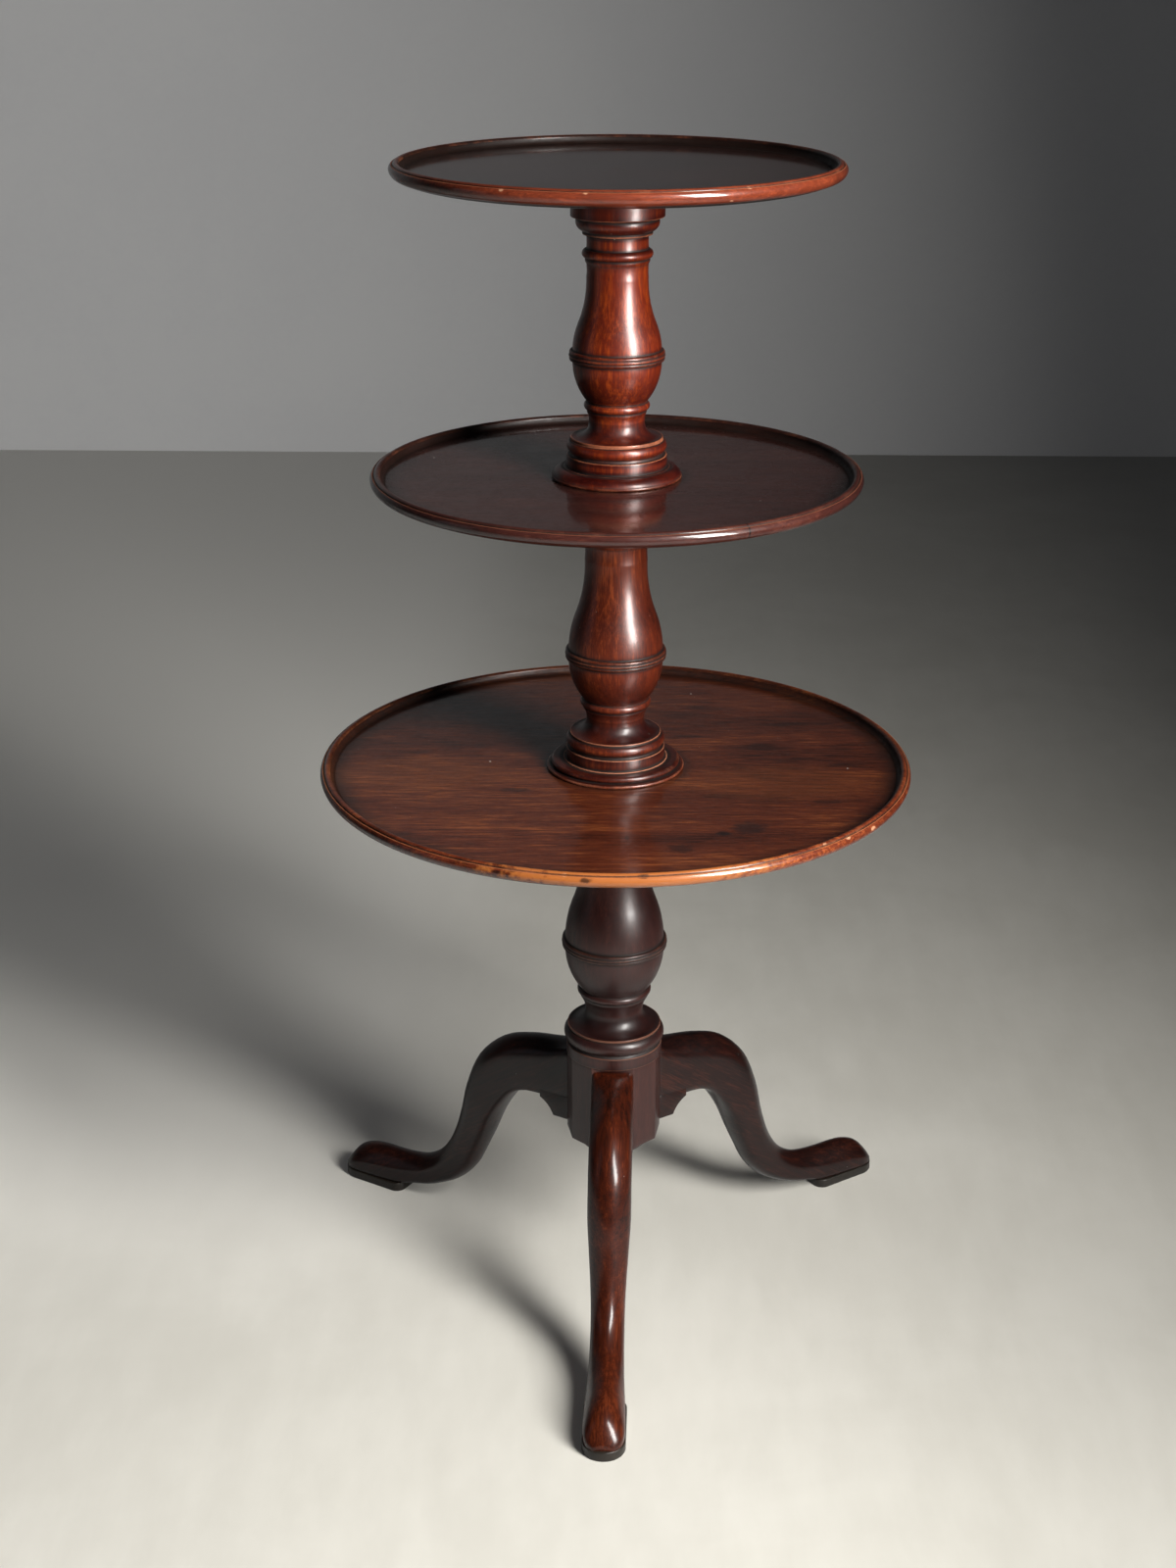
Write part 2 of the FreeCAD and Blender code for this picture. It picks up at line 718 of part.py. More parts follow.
def leg_template():
    """Chords across the leg, from its top line to its under line.

    Each row gives the two ends as shares of the reach from the seat and of the rise from the sole,
    then the width there, and the crown of the top and the belly of the underside as shares of it.
    The foot's ends lie just under the sole, which is cut flat afterwards.
    """
    knee = size("LegWidth")
    ankle = size("AnkleWidth")
    foot = size("FootWidth")
    return [
        ((0.000, 1.000), (0.000, 0.724), knee, 0.02, 0.01),
        ((0.096, 0.990), (0.116, 0.724), knee, 0.28, 0.01),
        ((0.203, 0.968), (0.185, 0.714), knee, 0.35, 0.02),
        ((0.307, 0.918), (0.235, 0.679), knee, 0.35, 0.05),
        ((0.400, 0.803), (0.279, 0.604), knee, 0.35, 0.10),
        ((0.454, 0.642), (0.319, 0.513), knee, 0.35, 0.14),
        ((0.481, 0.500), (0.350, 0.413), mix(knee, ankle, 0.35), 0.36, 0.18),
        ((0.509, 0.382), (0.387, 0.308), mix(knee, ankle, 0.70), 0.36, 0.19),
        ((0.543, 0.288), (0.432, 0.194), mix(knee, ankle, 0.95), 0.38, 0.20),
        ((0.588, 0.215), (0.502, 0.100), ankle, 0.38, 0.20),
        ((0.649, 0.166), (0.596, 0.037), mix(ankle, foot, 0.10), 0.38, 0.15),
        ((0.713, 0.147), (0.684, 0.012), mix(ankle, foot, 0.30), 0.40, 0.08),
        ((0.776, 0.141), (0.766, -0.005), mix(ankle, foot, 0.60), 0.42, 0.01),
        ((0.843, 0.139), (0.843, -0.005), mix(ankle, foot, 0.90), 0.43, 0.01),
        ((0.896, 0.129), (0.896, -0.005), foot, 0.41, 0.01),
        ((0.942, 0.104), (0.942, -0.005), foot * 0.98, 0.36, 0.01),
        ((0.974, 0.062), (0.974, -0.005), foot * 0.82, 0.26, 0.01),
        ((0.993, 0.024), (0.993, -0.005), foot * 0.50, 0.14, 0.01),
    ]


def turn_to_bearing(body, alias):
    """Swings a body that is built along +X round the column axis to its leg's bearing."""
    body.Placement = FreeCAD.Placement(FreeCAD.Vector(), FreeCAD.Rotation(FreeCAD.Vector(0, 0, 1), 1))
    bind(body, "Placement.Rotation.Angle", size(alias))


def draw_leg_section(sketch, width, depth, crown, belly):
    half_width = width * HALF
    draw_outline(sketch, [
        (-half_width, belly),
        (half_width, belly, belly),
        (half_width, depth - crown),
        (-half_width, depth - crown, crown),
    ])


BRACKET_HOLLOW = 0.14


def make_leg(name, alias):
    """Cabriole leg with its stepped bracket and the dovetail that slides into the block."""
    body = new_body(name)
    seat = size("LegSeatDistance")
    sole = size("PadHeight")
    top = size("LegTopHeight")
    under = size("BracketBottomHeight")
    reach = size("LegReach") - seat
    rise = top - sole
    bracket_end = seat + size("BracketReach")
    bracket_height = under + size("BracketCurveHeight")
    inside_leg = bracket_height + size("BracketCurveHeight") * HALF
    padded(body, name + "_bracket", "XZ_Plane", [
        (seat, under),
        (bracket_end, under),
        (bracket_end + size("BracketCurveWidth"), bracket_height, -(size("BracketCurveWidth") * BRACKET_HOLLOW)),
        (bracket_end + size("BracketCurveWidth"), inside_leg),
        (seat, inside_leg),
    ], size("LegWidth") - size("BracketSetBack") * 2, midplane=True)
    sections = []
    for number, (above, below, width, crown_share, belly_share) in enumerate(leg_template()):
        top_out = seat + reach * above[0]
        top_up = sole + rise * above[1]
        under_out = seat + reach * below[0]
        under_up = sole + rise * below[1]
        across = top_out - under_out
        along = top_up - under_up
        depth = Size(math.hypot(across.value, along.value),
                     "sqrt((%s)^2 + (%s)^2)" % (across.text, along.text))
        tilt = Size(math.degrees(math.atan2(across.value, along.value)),
                    "atan((%s) / (%s))" % (across.text, along.text))
        section = new_sketch(body, "%s_section_%d" % (name, number), "YZ_Plane", under_out)
        section.AttachmentOffset = FreeCAD.Placement(
            FreeCAD.Vector(0, under_up.value, under_out.value),
            FreeCAD.Rotation(FreeCAD.Vector(1, 0, 0), tilt.value))
        bind(section, "AttachmentOffset.Base.y", under_up)
        bind(section, "AttachmentOffset.Rotation.Angle", tilt)
        draw_leg_section(section, width, depth, width * crown_share, width * belly_share)
        sections.append(section)
    doc.recompute()
    loft = body.newObject("PartDesign::AdditiveLoft", name + "_loft")
    loft.Profile = sections[0]
    loft.Sections = sections[1:]
    loft.Ruled = False
    body.Tip = loft
    doc.recompute()
    tenon = dovetail_corners(as_size(0), ZERO)
    padded(body, name + "_dovetail", "XY_Plane", tenon, size("DovetailHeight"), height=size("BlockBottomHeight"))
    half_width = size("FootWidth")
    toe = size("LegReach") + half_width
    heel = size("LegReach") - size("PadLength") * 2
    pocketed(body, name + "_sole", lambda sketch: draw_outline(sketch, [
        (heel, -half_width),
        (toe, -half_width),
        (toe, half_width),
        (heel, half_width),
    ]), sole, ZERO)
    turn_to_bearing(body, alias)
    return body


TOE_ROUNDNESS = 0.999


def make_pad(name, alias):
    """Oval block under a foot, with a round toe and a blunt heel."""
    body = new_body(name)
    half_width = size("PadWidth") * HALF
    toe = size("LegReach") + size("PadToeProud")
    toe_centre = toe - half_width
    heel = toe - size("PadLength")
    corner = size("PadHeelCorner")
    corner_rise = corner * (1 - math.sqrt(HALF))
    pad = padded(body, name + "_block", "XY_Plane", [
        (toe_centre, -half_width),
        (toe_centre, half_width, half_width * TOE_ROUNDNESS),
        (heel + corner, half_width),
        (heel, half_width - corner, corner_rise),
        (heel, -half_width + corner),
        (heel + corner, -half_width, corner_rise),
    ], size("PadHeight"))
    rounding = body.newObject("PartDesign::Fillet", name + "_edges")
    rounding.Base = (pad, ["Face%d" % number for number, face in enumerate(pad.Shape.Faces, start=1)
                           if abs(face.normalAt(0, 0).z) > HALF])
    bind(rounding, "Radius", size("PadEdgeRound"))
    body.Tip = rounding
    doc.recompute()
    turn_to_bearing(body, alias)
    return body


# ---------------------------------------------------------------- assembly

parts = [
    make_lower_column(),
    make_column("Middle", "middle_column"),
    make_column("Upper", "upper_column"),
    make_block_cap(),
]
for tier, word in TRAY_OF.items():
    holes = make_screws(tier, word + "_screw_holes", size("ScrewFit"))
    parts.append(bored(make_tray(tier, word + "_tray_turned"), holes, word + "_tray"))
    parts.append(bored(make_collar(tier, word + "_collar_turned"), holes, word + "_tray_collar"))
    parts.append(make_screws(tier, word + "_collar_screws", ZERO))
for side, alias in zip(("front", "right", "left"), LEG_BEARINGS):
    parts.append(make_leg(side + "_leg", alias))
    parts.append(make_pad(side + "_foot_pad", alias))
doc.recompute()

for item in doc.Objects:
    if "Invalid" in item.State or "Error" in item.State:
        raise RuntimeError("%s is %s" % (item.Label, item.State))
for item in parts:
    if item.Shape.isNull() or not item.Shape.isValid():
        raise RuntimeError("%s has a bad shape" % item.Label)

os.makedirs("parts", exist_ok=True)
for item in parts:
    item.Shape.exportStep("parts/%s.step" % item.Label)
    box = item.Shape.BoundBox
    print("%-24s solids %d  volume %9.0f  z %.1f to %.1f"
          % (item.Label, len(item.Shape.Solids), item.Shape.Volume, box.ZMin, box.ZMax))
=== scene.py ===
# %% [markdown]
# # A three-tier revolving table in old mahogany
# The real thing is a stack of three turned columns. Each carries a dished round tray, and the lowest
# stands on three carved legs. The measured model comes in first and stays as it is, in metres, with
# its origin on the column axis at floor level. Every piece made here sits where its node says.

# %% Load the measured model
import math
import bmesh
import bpy
from mathutils import Matrix, Vector


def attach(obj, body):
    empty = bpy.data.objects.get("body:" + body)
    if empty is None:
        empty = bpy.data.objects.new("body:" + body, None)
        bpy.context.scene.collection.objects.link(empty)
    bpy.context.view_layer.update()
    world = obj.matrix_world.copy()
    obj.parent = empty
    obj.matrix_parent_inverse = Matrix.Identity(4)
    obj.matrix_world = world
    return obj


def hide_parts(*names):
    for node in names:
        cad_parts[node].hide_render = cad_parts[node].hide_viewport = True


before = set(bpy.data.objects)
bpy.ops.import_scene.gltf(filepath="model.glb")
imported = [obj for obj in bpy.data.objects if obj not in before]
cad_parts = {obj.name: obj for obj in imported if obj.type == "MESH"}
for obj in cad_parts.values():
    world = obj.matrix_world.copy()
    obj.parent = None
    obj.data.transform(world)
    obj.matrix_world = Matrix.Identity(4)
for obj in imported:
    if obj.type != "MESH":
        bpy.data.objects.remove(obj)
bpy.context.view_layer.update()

# %% [markdown]
# ## Camera
# The table is seen from just above the top tray, from a little over two metres in front. The long
# side of the picture takes the sensor's full 36 millimetres, so the lens length alone sets how much
# shows. A slight turn to the left and a tilt down are all the rotation it needs.

# %% Camera
CAMERA_PLACE = (0.0, -2.1267, 1.3865)
TILT_DOWN = 21.784
TURN_LEFT = 0.712
camera = bpy.data.objects.new("camera", bpy.data.cameras.new("camera"))
bpy.context.scene.collection.objects.link(camera)
camera.location = CAMERA_PLACE
camera.rotation_euler = (math.radians(90 - TILT_DOWN), 0.0, math.radians(TURN_LEFT))
camera.data.sensor_width = 36.0
camera.data.lens = 53.92
bpy.context.scene.camera = camera
print("camera at", tuple(camera.location))

# %% [markdown]
# ## Helpers for shader nodes
# A node tree is easier to read as sums and products than as a list of Math nodes. A field is what a
# node puts out: arithmetic on fields adds the nodes, and a field given to a socket makes a link.
# Anything else is set as a plain value, and a colour may leave out its alpha.

# %% Node helpers
class Field:
    """The value that a node puts out. Arithmetic on it adds Math nodes to its tree."""

    def __init__(self, socket):
        self.socket = socket
        self.tree = socket.id_data

    def __add__(self, other):
        return maths("ADD", self, other)

    def __sub__(self, other):
        return maths("SUBTRACT", self, other)

    def __rsub__(self, other):
        return maths("SUBTRACT", other, self)

    def __mul__(self, other):
        return maths("MULTIPLY", self, other)

    def __truediv__(self, other):
        return maths("DIVIDE", self, other)


def fill(socket, value):
    if isinstance(value, Field):
        value.tree.links.new(value.socket, socket)
    elif socket.type == "RGBA" and len(value) == 3:
        socket.default_value = (*value, 1.0)
    else:
        socket.default_value = value


def put(tree, kind, sockets=None, **settings):
    """One node. Its sockets are given by name or number."""
    made = tree.nodes.new(kind)
    for key, value in settings.items():
        setattr(made, key, value)
    for key, value in (sockets or {}).items():
        fill(made.inputs[key], value)
    return made


def out(tree, kind, output, sockets=None, **settings):
    """One node, for the sake of one of its outputs."""
    return Field(put(tree, kind, sockets, **settings).outputs[output])


def tree_of(*values):
    return next(value.tree for value in values if isinstance(value, Field))


def maths(operation, first, second=0.0, clamp=False):
    return out(tree_of(first, second), "ShaderNodeMath", 0, {0: first, 1: second}, operation=operation,
               use_clamp=clamp)


def vectors(operation, first, second=(0.0, 0.0, 0.0), output=0):
    return out(first.tree, "ShaderNodeVectorMath", output, {0: first, 1: second}, operation=operation)


def stretch(place, factors):
    """Scales a position, so that a pattern read from it is drawn out along the small factors."""
    return vectors("MULTIPLY", place, factors)


def noise(place, scale, detail=2.0, roughness=0.5, distortion=0.0):
    return out(place.tree, "ShaderNodeTexNoise", "Fac", {
        "Vector": place, "Scale": scale, "Detail": detail, "Roughness": roughness, "Distortion": distortion})


def ramp(value, low, high, to_low=0.0, to_high=1.0):
    """Maps low..high smoothly onto to_low..to_high."""
    return out(value.tree, "ShaderNodeMapRange", "Result", {
        "Value": value, "From Min": low, "From Max": high, "To Min": to_low, "To Max": to_high},
        interpolation_type="SMOOTHSTEP")


def blend(share, first, second, mode="MIX"):
    """Mixes two colours, which are the sixth and seventh sockets of a Mix node."""
    return out(tree_of(share, first, second), "ShaderNodeMix", 2, {"Factor": share, 6: first, 7: second},
               data_type="RGBA", blend_type=mode)


COLOURS = ("Color", "Deep", "Body", "Bright", "Bare", "Wax", "Shade", "RimGain")
PLACES = ("Along", "Place", "Middle", "Stretch", "Across")


def new_group(name, inputs, outputs):
    """A node group with named sockets, the fields that it is given, and the sockets to fill."""
    tree = bpy.data.node_groups.new(name, "ShaderNodeTree")
    for labels, side in ((inputs, "INPUT"), (outputs, "OUTPUT")):
        for label in labels.split():
            kind = "Color" if label in COLOURS else "Vector" if label in PLACES else "Float"
            tree.interface.new_socket(label, in_out=side, socket_type="NodeSocket" + kind)
    given = {socket.name: Field(socket) for socket in tree.nodes.new("NodeGroupInput").outputs if socket.name}
    return tree, given, tree.nodes.new("NodeGroupOutput").inputs


def close_group(tree, result, **fields):
    for label, field in fields.items():
        fill(result[label], field)
    print("group:", tree.name, len(tree.nodes), "nodes")


def use(group, **sockets):
    """Places a group in the tree of the fields that it gets, and gives back its outputs."""
    made = put(tree_of(*sockets.values()), "ShaderNodeGroup", node_tree=group)
    for label, value in sockets.items():
        fill(made.inputs[label], value)
    return {socket.name: Field(socket) for socket in made.outputs if socket.name}


print("node helpers ready, colour sockets:", COLOURS)

# %% [markdown]
# ## Mahogany figure
# Old mahogany shows three things at once: slow clouds of darker and lighter wood, long fine fibres,
# and short dark pores. All three run along the board. Solid noise, drawn out along the grain, gives
# them on every face at once, so turned and carved shapes cut through the figure as a real tool does.

# %% Mahogany figure group
BLACK_PORE = (0.004, 0.002, 0.001)
figure, given, result = new_group(
    "mahogany_figure", "Along Deep Body Bright Contrast", "Color Pores Fibres")
along = given["Along"]
clouds = noise(stretch(along, (0.30, 1.0, 1.0)), 11.0, 3.0, 0.55, 0.6)
bands = noise(stretch(along, (0.090, 1.0, 1.0)), 210.0, 5.0, 0.62, 0.4)
fibres = noise(stretch(along, (0.055, 1.0, 1.0)), 700.0, 4.0, 0.7)
pores = ramp(noise(stretch(along, (0.09, 1.0, 1.0)), 1100.0, 1.0), 0.60, 0.72)
tone = clouds * 0.36 + bands * 0.30 + fibres * 0.34
spread = (tone - 0.5) * given["Contrast"] + 0.5
lower_half = blend(ramp(spread, 0.25, 0.52), given["Deep"], given["Body"])
whole = blend(ramp(spread, 0.50, 0.78), lower_half, given["Bright"])
with_pores = blend(pores * 0.45, whole, blend(0.75, given["Deep"], BLACK_PORE))
close_group(figure, result, Color=with_pores, Pores=pores, Fibres=fibres)

# %% [markdown]
# ## Rubbed edges, painted highlight, old wax and painted shade
# Two centuries of dusting take the colour off proud edges and leave old wax in the hollows. Here the
# pale edges also stand in as a painted highlight, and the dark hollows also as painted shade. Each
# piece stores how proud or sunk every point is, so the group only has to break those two values up
# with noise: wear comes in patches, and the darkening gathers unevenly.

# %% Rubbed edges, highlight and shade group
edge_wear_light_and_shade, given, result = new_group(
    "edges_worn_lit_and_shaded", "Color Proud Sunk Bare Wax Place Wear", "Color Rubbed Waxed")
patches = noise(given["Place"], 38.0, 3.0, 0.6)
uneven = patches * 0.75 + noise(given["Place"], 420.0, 3.0, 0.65) * 0.45
# Pale proud edges: part wear, part painted highlight.
worn = ramp(given["Proud"] * given["Wear"] + (uneven - 0.60), 0.30, 0.95)
shown = worn * ramp(given["Proud"], 0.05, 0.35)
# Darker grooves and hollows: part old wax, part painted shade.
waxed = ramp(given["Sunk"], 0.06, 0.55) * ramp(patches, 0.25, 0.60, 0.55, 1.0)
waxed_and_shaded = blend(waxed * 0.85, given["Color"], given["Wax"])
worn_and_highlit = blend(shown * 0.80, waxed_and_shaded, given["Bare"])
close_group(edge_wear_light_and_shade, result, Color=worn_and_highlit, Rubbed=shown, Waxed=waxed)

# %% [markdown]
# ## Hand polish
# Shellac is rubbed on by hand, so its gloss is never even. Broad smears and a finer mottle change
# the roughness, old wax dulls it, and the film sinks into the pores. The height that comes out is
# for a Bump node: it ripples the reflections without changing the outline.

# %% Hand polish group
polish, given, result = new_group("hand_polish", "Place Pores Fibres Waxed Glossy Dull", "Roughness Height")
smears = noise(stretch(given["Place"], (1.0, 1.0, 0.6)), 16.0, 4.0, 0.6, 1.2)
breath = noise(given["Place"], 150.0, 3.0, 0.6)
film = ramp(smears * 0.65 + breath * 0.35, 0.36, 0.68) * (given["Dull"] - given["Glossy"]) + given["Glossy"]
hazed = film + given["Waxed"] * 0.22
ripple = noise(given["Place"], 34.0, 2.0, 0.5) * 0.8
peel = noise(given["Place"], 300.0, 2.0, 0.5) * 0.11
height = (ripple + peel) + (given["Fibres"] * 0.15 + given["Pores"] * -0.05)
close_group(polish, result, Roughness=hazed + given["Pores"] * 0.08, Height=height)

# %% [markdown]
# ## Dust and bruises
# A few pale specks of dust and small dark bruises keep a big polished face from looking computed.
# Voronoi cells are a cheap way to scatter round dots: only the very middle of some cells is kept.

# %% Dust and bruises group
specks, given, result = new_group("dust_and_bruises", "Place Color", "Color")


def scattered(place, scale, size, chosen):
    """Small round dots, in the cells whose random number is above chosen."""
    cells = put(place.tree, "ShaderNodeTexVoronoi", {"Vector": place, "Scale": scale}).outputs
    chance = out(place.tree, "ShaderNodeSeparateColor", 0, {"Color": Field(cells["Color"])})
    return ramp(Field(cells["Distance"]), size, size * 0.4) * maths("GREATER_THAN", chance, chosen)


dust = scattered(given["Place"], 60.0, 0.034, 0.62)
bruise = scattered(given["Place"], 34.0, 0.055, 0.70)
bruised = blend(bruise * 0.7, given["Color"], (0.010, 0.004, 0.003))
close_group(specks, result, Color=blend(dust * 0.55, bruised, (0.55, 0.50, 0.45)))

# %% [markdown]
# ## Dished tray wax and shade
# On a tray the wood darkens in a band inside the rim, in the cove and round the foot of the column:
# old wax where a cloth doesn't reach, and painted shade under the rim and beside the column. The
# rim itself is handled most and stays redder than the floor. All of these are distances from the
# tray's middle, so the group reads the radius.

# %% Dish wax and shade group
dish, given, result = new_group("dish_wax_and_shade", "Place Color Rim Hub Shade RimGain", "Color RimZone Cove")
radius = vectors("LENGTH", stretch(given["Place"], (1.0, 1.0, 0.0)), output="Value")
past_rim = radius - given["Rim"]
wander = (noise(given["Place"], 14.0, 3.0) - 0.5) * 0.030
rim_zone = ramp(past_rim, -0.001, 0.003)
# Old wax and painted shade: a band inside the rim, the cove, and a ring round the column's foot.
rim_shade_band = ramp((given["Rim"] - radius) + wander, 0.030, 0.002) * (1.0 - rim_zone)
hub_shade_band = ramp((radius - given["Hub"]) + wander * 0.5, 0.014, 0.001)
cove = ramp(past_rim, -0.0075, -0.0045) * (1.0 - rim_zone)
tray_wax_and_shade = maths("MAXIMUM", maths("MAXIMUM", rim_shade_band, cove), hub_shade_band * 0.8)
redder = blend(rim_zone, given["Color"], given["RimGain"], "MULTIPLY")
close_group(dish, result, Color=blend(tray_wax_and_shade * 0.70, redder, given["Shade"]), RimZone=rim_zone, Cove=cove)

# %% [markdown]
# ## Marks at known places
# A thumbed edge, a water mark or a crack belongs to one spot. The first group measures the distance
# from that spot and lets noise fray its edge. The second darkens a thin line on the rim that points
# to the tray's middle, where the wood has opened.

# %% Spot and crack groups
spot, given, result = new_group("frayed_spot", "Place Middle Stretch Reach Fray", "Share")
offset = stretch(vectors("SUBTRACT", given["Place"], given["Middle"]), given["Stretch"])
torn = (noise(given["Place"], 120.0, 4.0, 0.65) - 0.5) * (given["Fray"] * given["Reach"])
away = vectors("LENGTH", offset, output="Value") + torn
close_group(spot, result, Share=ramp(away / given["Reach"], 1.0, 0.45))

crack, given, result = new_group("open_joint", "Place Across Along Width", "Share")
beside, ahead = (vectors("DOT_PRODUCT", given["Place"], given[way], "Value") for way in ("Across", "Along"))
stray = (noise(given["Place"], 260.0, 2.0) - 0.5) * 0.0016
line = ramp(maths("ABSOLUTE", beside + stray) / given["Width"], 1.0, 0.35)
close_group(crack, result, Share=line * ramp(ahead, 0.200, 0.212))

# %% [markdown]
# ## Mahogany materials
# Every wooden piece uses the same recipe with its own colours: figure, then staining, old wax and
# painted shade, then rubbed edges with a painted highlight, then dust, and the polish last. The grain's
# direction is a Mapping node of type Texture, which turns the board into the grain's own axes: X runs
# along the fibres.

# %% Mahogany recipe
# The colour of old wax and of painted shade in grooves and hollows.
WAX_AND_SHADE = (0.006, 0.003, 0.002)
# Tint for end-grain staining on slopes and for painted shade in a column's hollows.
STAIN_AND_SHADE = (0.19, 0.075, 0.12)
NO_GAIN = (1.0, 1.0, 1.0)
OPEN_JOINT = (0.003, 0.002, 0.002)


def start_material(name):
    """An empty material, its tree, and the place on the piece."""
    made = bpy.data.materials.new(name)
    made.use_nodes = True
    made.node_tree.nodes.clear()
    return made, made.node_tree, out(made.node_tree, "ShaderNodeTexCoord", "Object")


def finish_material(tree, colour, roughness, height, depth=0.0004, **constants):
    """The shader and the bump that every solid finish here ends with."""
    bump = out(tree, "ShaderNodeBump", "Normal", {"Height": height, "Strength": 0.55, "Distance": depth})
    shader = put(tree, "ShaderNodeBsdfPrincipled",
                 {"Base Color": colour, "Roughness": roughness, "Normal": bump})
    for label, value in constants.items():
        fill(shader.inputs[label.replace("_", " ")], value)
    put(tree, "ShaderNodeOutputMaterial", {"Surface": Field(shader.outputs["BSDF"])})
    return shader


def stored(tree, layer):
    """A value that the piece stores at each vertex."""
    return out(tree, "ShaderNodeAttribute", "Fac", attribute_name=layer)


def aged_finish(place, wood, colour, bare, wax, wear, dull, duller, **constants):
    """Wax and painted shade, edges worn and painted as highlight, then dust, and the polish last."""
    tree = place.tree
    edges = use(edge_wear_light_and_shade, Color=colour, Proud=stored(tree, "proud"), Sunk=stored(tree, "sunk"), Bare=bare,
                Wax=wax, Place=place, Wear=wear)
    marked = use(specks, Place=place, Color=edges["Color"])
    surface = use(polish, Place=place, Pores=wood["Pores"], Fibres=wood["Fibres"], Waxed=edges["Waxed"],
                  Glossy=dull, Dull=duller)
    return edges, finish_material(tree, marked["Color"], surface["Roughness"], surface["Height"], **constants)


def mahogany(name, deep, body, bright, bare, grain_turn=(0.0, 0.0, 0.0), contrast=2.3, wear=1.0, dull=0.34,
             duller=0.48, gloss=0.16, film=0.6, shine=0.4, glow=0.0, rim=None, hub=0.0, rim_gain=NO_GAIN,
             spots=(), joint=None, stain_and_shade=STAIN_AND_SHADE):
    """French-polished mahogany. Rim and hub, in metres, add the dark bands of a dished tray.

    Dull and duller are the wood's own roughness, gloss and film the roughness and the share of the
    clear film on it. Glow lets part of the wood mirror its own colour, as fibres lit through
    shellac do. The tint for staining and shade is laid where the profile slopes across the grain,
    as end-grain staining, and in a column's hollows, as painted shade. A tray's dark bands are old
    wax and painted shade. Joint is the bearing, in degrees, of an opened joint in the rim.
    """
    made, tree, place = start_material(name)
    along = out(tree, "ShaderNodeMapping", "Vector", {"Vector": place, "Rotation": grain_turn},
                vector_type="TEXTURE")
    wood = use(figure, Along=along, Deep=deep, Body=body, Bright=bright, Contrast=contrast)
    patchy = ramp(noise(stretch(place, (1.0, 1.0, 1.6)), 26.0, 3.0, 0.6), 0.30, 0.66, 0.70, 1.0)
    # Staining where the profile slopes, and painted shade in a column's hollows.
    colour = blend(stored(tree, "stained_and_shaded") * patchy, wood["Color"], stain_and_shade, "MULTIPLY")
    if rim:
        # Old wax and painted shade inside the rim, in the cove and round the column's foot.
        tray_wax_and_shade = use(dish, Place=place, Color=colour, Rim=rim, Hub=hub, Shade=WAX_AND_SHADE, RimGain=rim_gain)
        colour = tray_wax_and_shade["Color"]
    for middle, shape, reach, fray, strength, tint, on_rim in spots:
        mark = use(spot, Place=place, Middle=middle, Stretch=shape, Reach=reach, Fray=fray)
        covered = mark["Share"] * strength
        colour = blend(covered * tray_wax_and_shade["RimZone"] if on_rim else covered, colour, tint)
    if joint:
        east, north = math.cos(math.radians(joint)), math.sin(math.radians(joint))
        opened = use(crack, Place=place, Across=(-north, east, 0.0), Along=(east, north, 0.0), Width=0.0011)
        colour = blend(opened["Share"], colour, OPEN_JOINT)
    edges, shader = aged_finish(place, wood, colour, bare, WAX_AND_SHADE, wear, dull, duller, IOR=1.45, Metallic=glow,
                                Specular_IOR_Level=shine, Coat_Roughness=gloss, Coat_IOR=1.5)
    gone = edges["Waxed"] * 0.6 + edges["Rubbed"] * 0.3
    if rim:
        gone = gone + tray_wax_and_shade["Cove"] * 0.8
    fill(shader.inputs["Coat Weight"], maths("SUBTRACT", 1.0, gone, clamp=True) * film)
    return made


UPRIGHT = (0.0, math.radians(-90), 0.0)
turned_polish = dict(grain_turn=UPRIGHT, dull=0.34, duller=0.46, gloss=0.21, film=0.45, shine=0.60, wear=0.85,
                     glow=0.2)
upper_wood = mahogany("upper_column_mahogany", (0.030, 0.003, 0.002), (0.135, 0.013, 0.003),
                      (0.410, 0.064, 0.006), (0.38, 0.12, 0.055), contrast=1.5, **turned_polish)
middle_wood = mahogany("middle_column_mahogany", (0.026, 0.005, 0.003), (0.120, 0.018, 0.006),
                       (0.370, 0.074, 0.018), (0.40, 0.15, 0.080), contrast=1.7, **turned_polish)
lower_wood = mahogany("lower_column_mahogany", (0.009, 0.003, 0.003), (0.034, 0.008, 0.006),
                      (0.100, 0.026, 0.016), (0.16, 0.060, 0.035), grain_turn=UPRIGHT, contrast=1.3,
                      dull=0.38, duller=0.48, gloss=0.22, film=0.25, shine=0.65, glow=0.1,
                      stain_and_shade=(0.35, 0.25, 0.30))
print("column finishes:", upper_wood.name, middle_wood.name, lower_wood.name)

# %% [markdown]
# ## Profiles for turning
# A turner works from a profile: hollows, rounds and fillets, one after another. Here a profile is a
# list of stops in millimetres, (radius, height), and a third number bows the stretch before the stop
# into an arc, out if it is positive. Sharp corners are eased a little, as a file or sandpaper leaves
# them, because a perfectly sharp edge never catches the light.

# %% Profile helpers
# In millimetres, except for the angles, in degrees, and the shares.
MM = 0.001
ARC_PITCH = 1.1
CORNER = 0.45
SHARP_TURN = 24
LONG_RUN, NEAR_CORNER = 3.0, 0.6
WIDE_RUN, PITCH, WIDE_PITCH = 60, 5.0, 14.0
FULL_BEND = 58
PROUD_REACH, SUNK_REACH = 0.9, 1.8
SLOPE_REACH = 4.0
HOLLOW_REACH, FULL_HOLLOW = 16.0, 9.0
SHELF_SLOPE, TURNING_SLOPE = 0.85, 0.55
# Share of a hollow's depth that darkens it, as old wax and as painted shade.
HOLLOW_WAX_AND_SHADE = 0.18


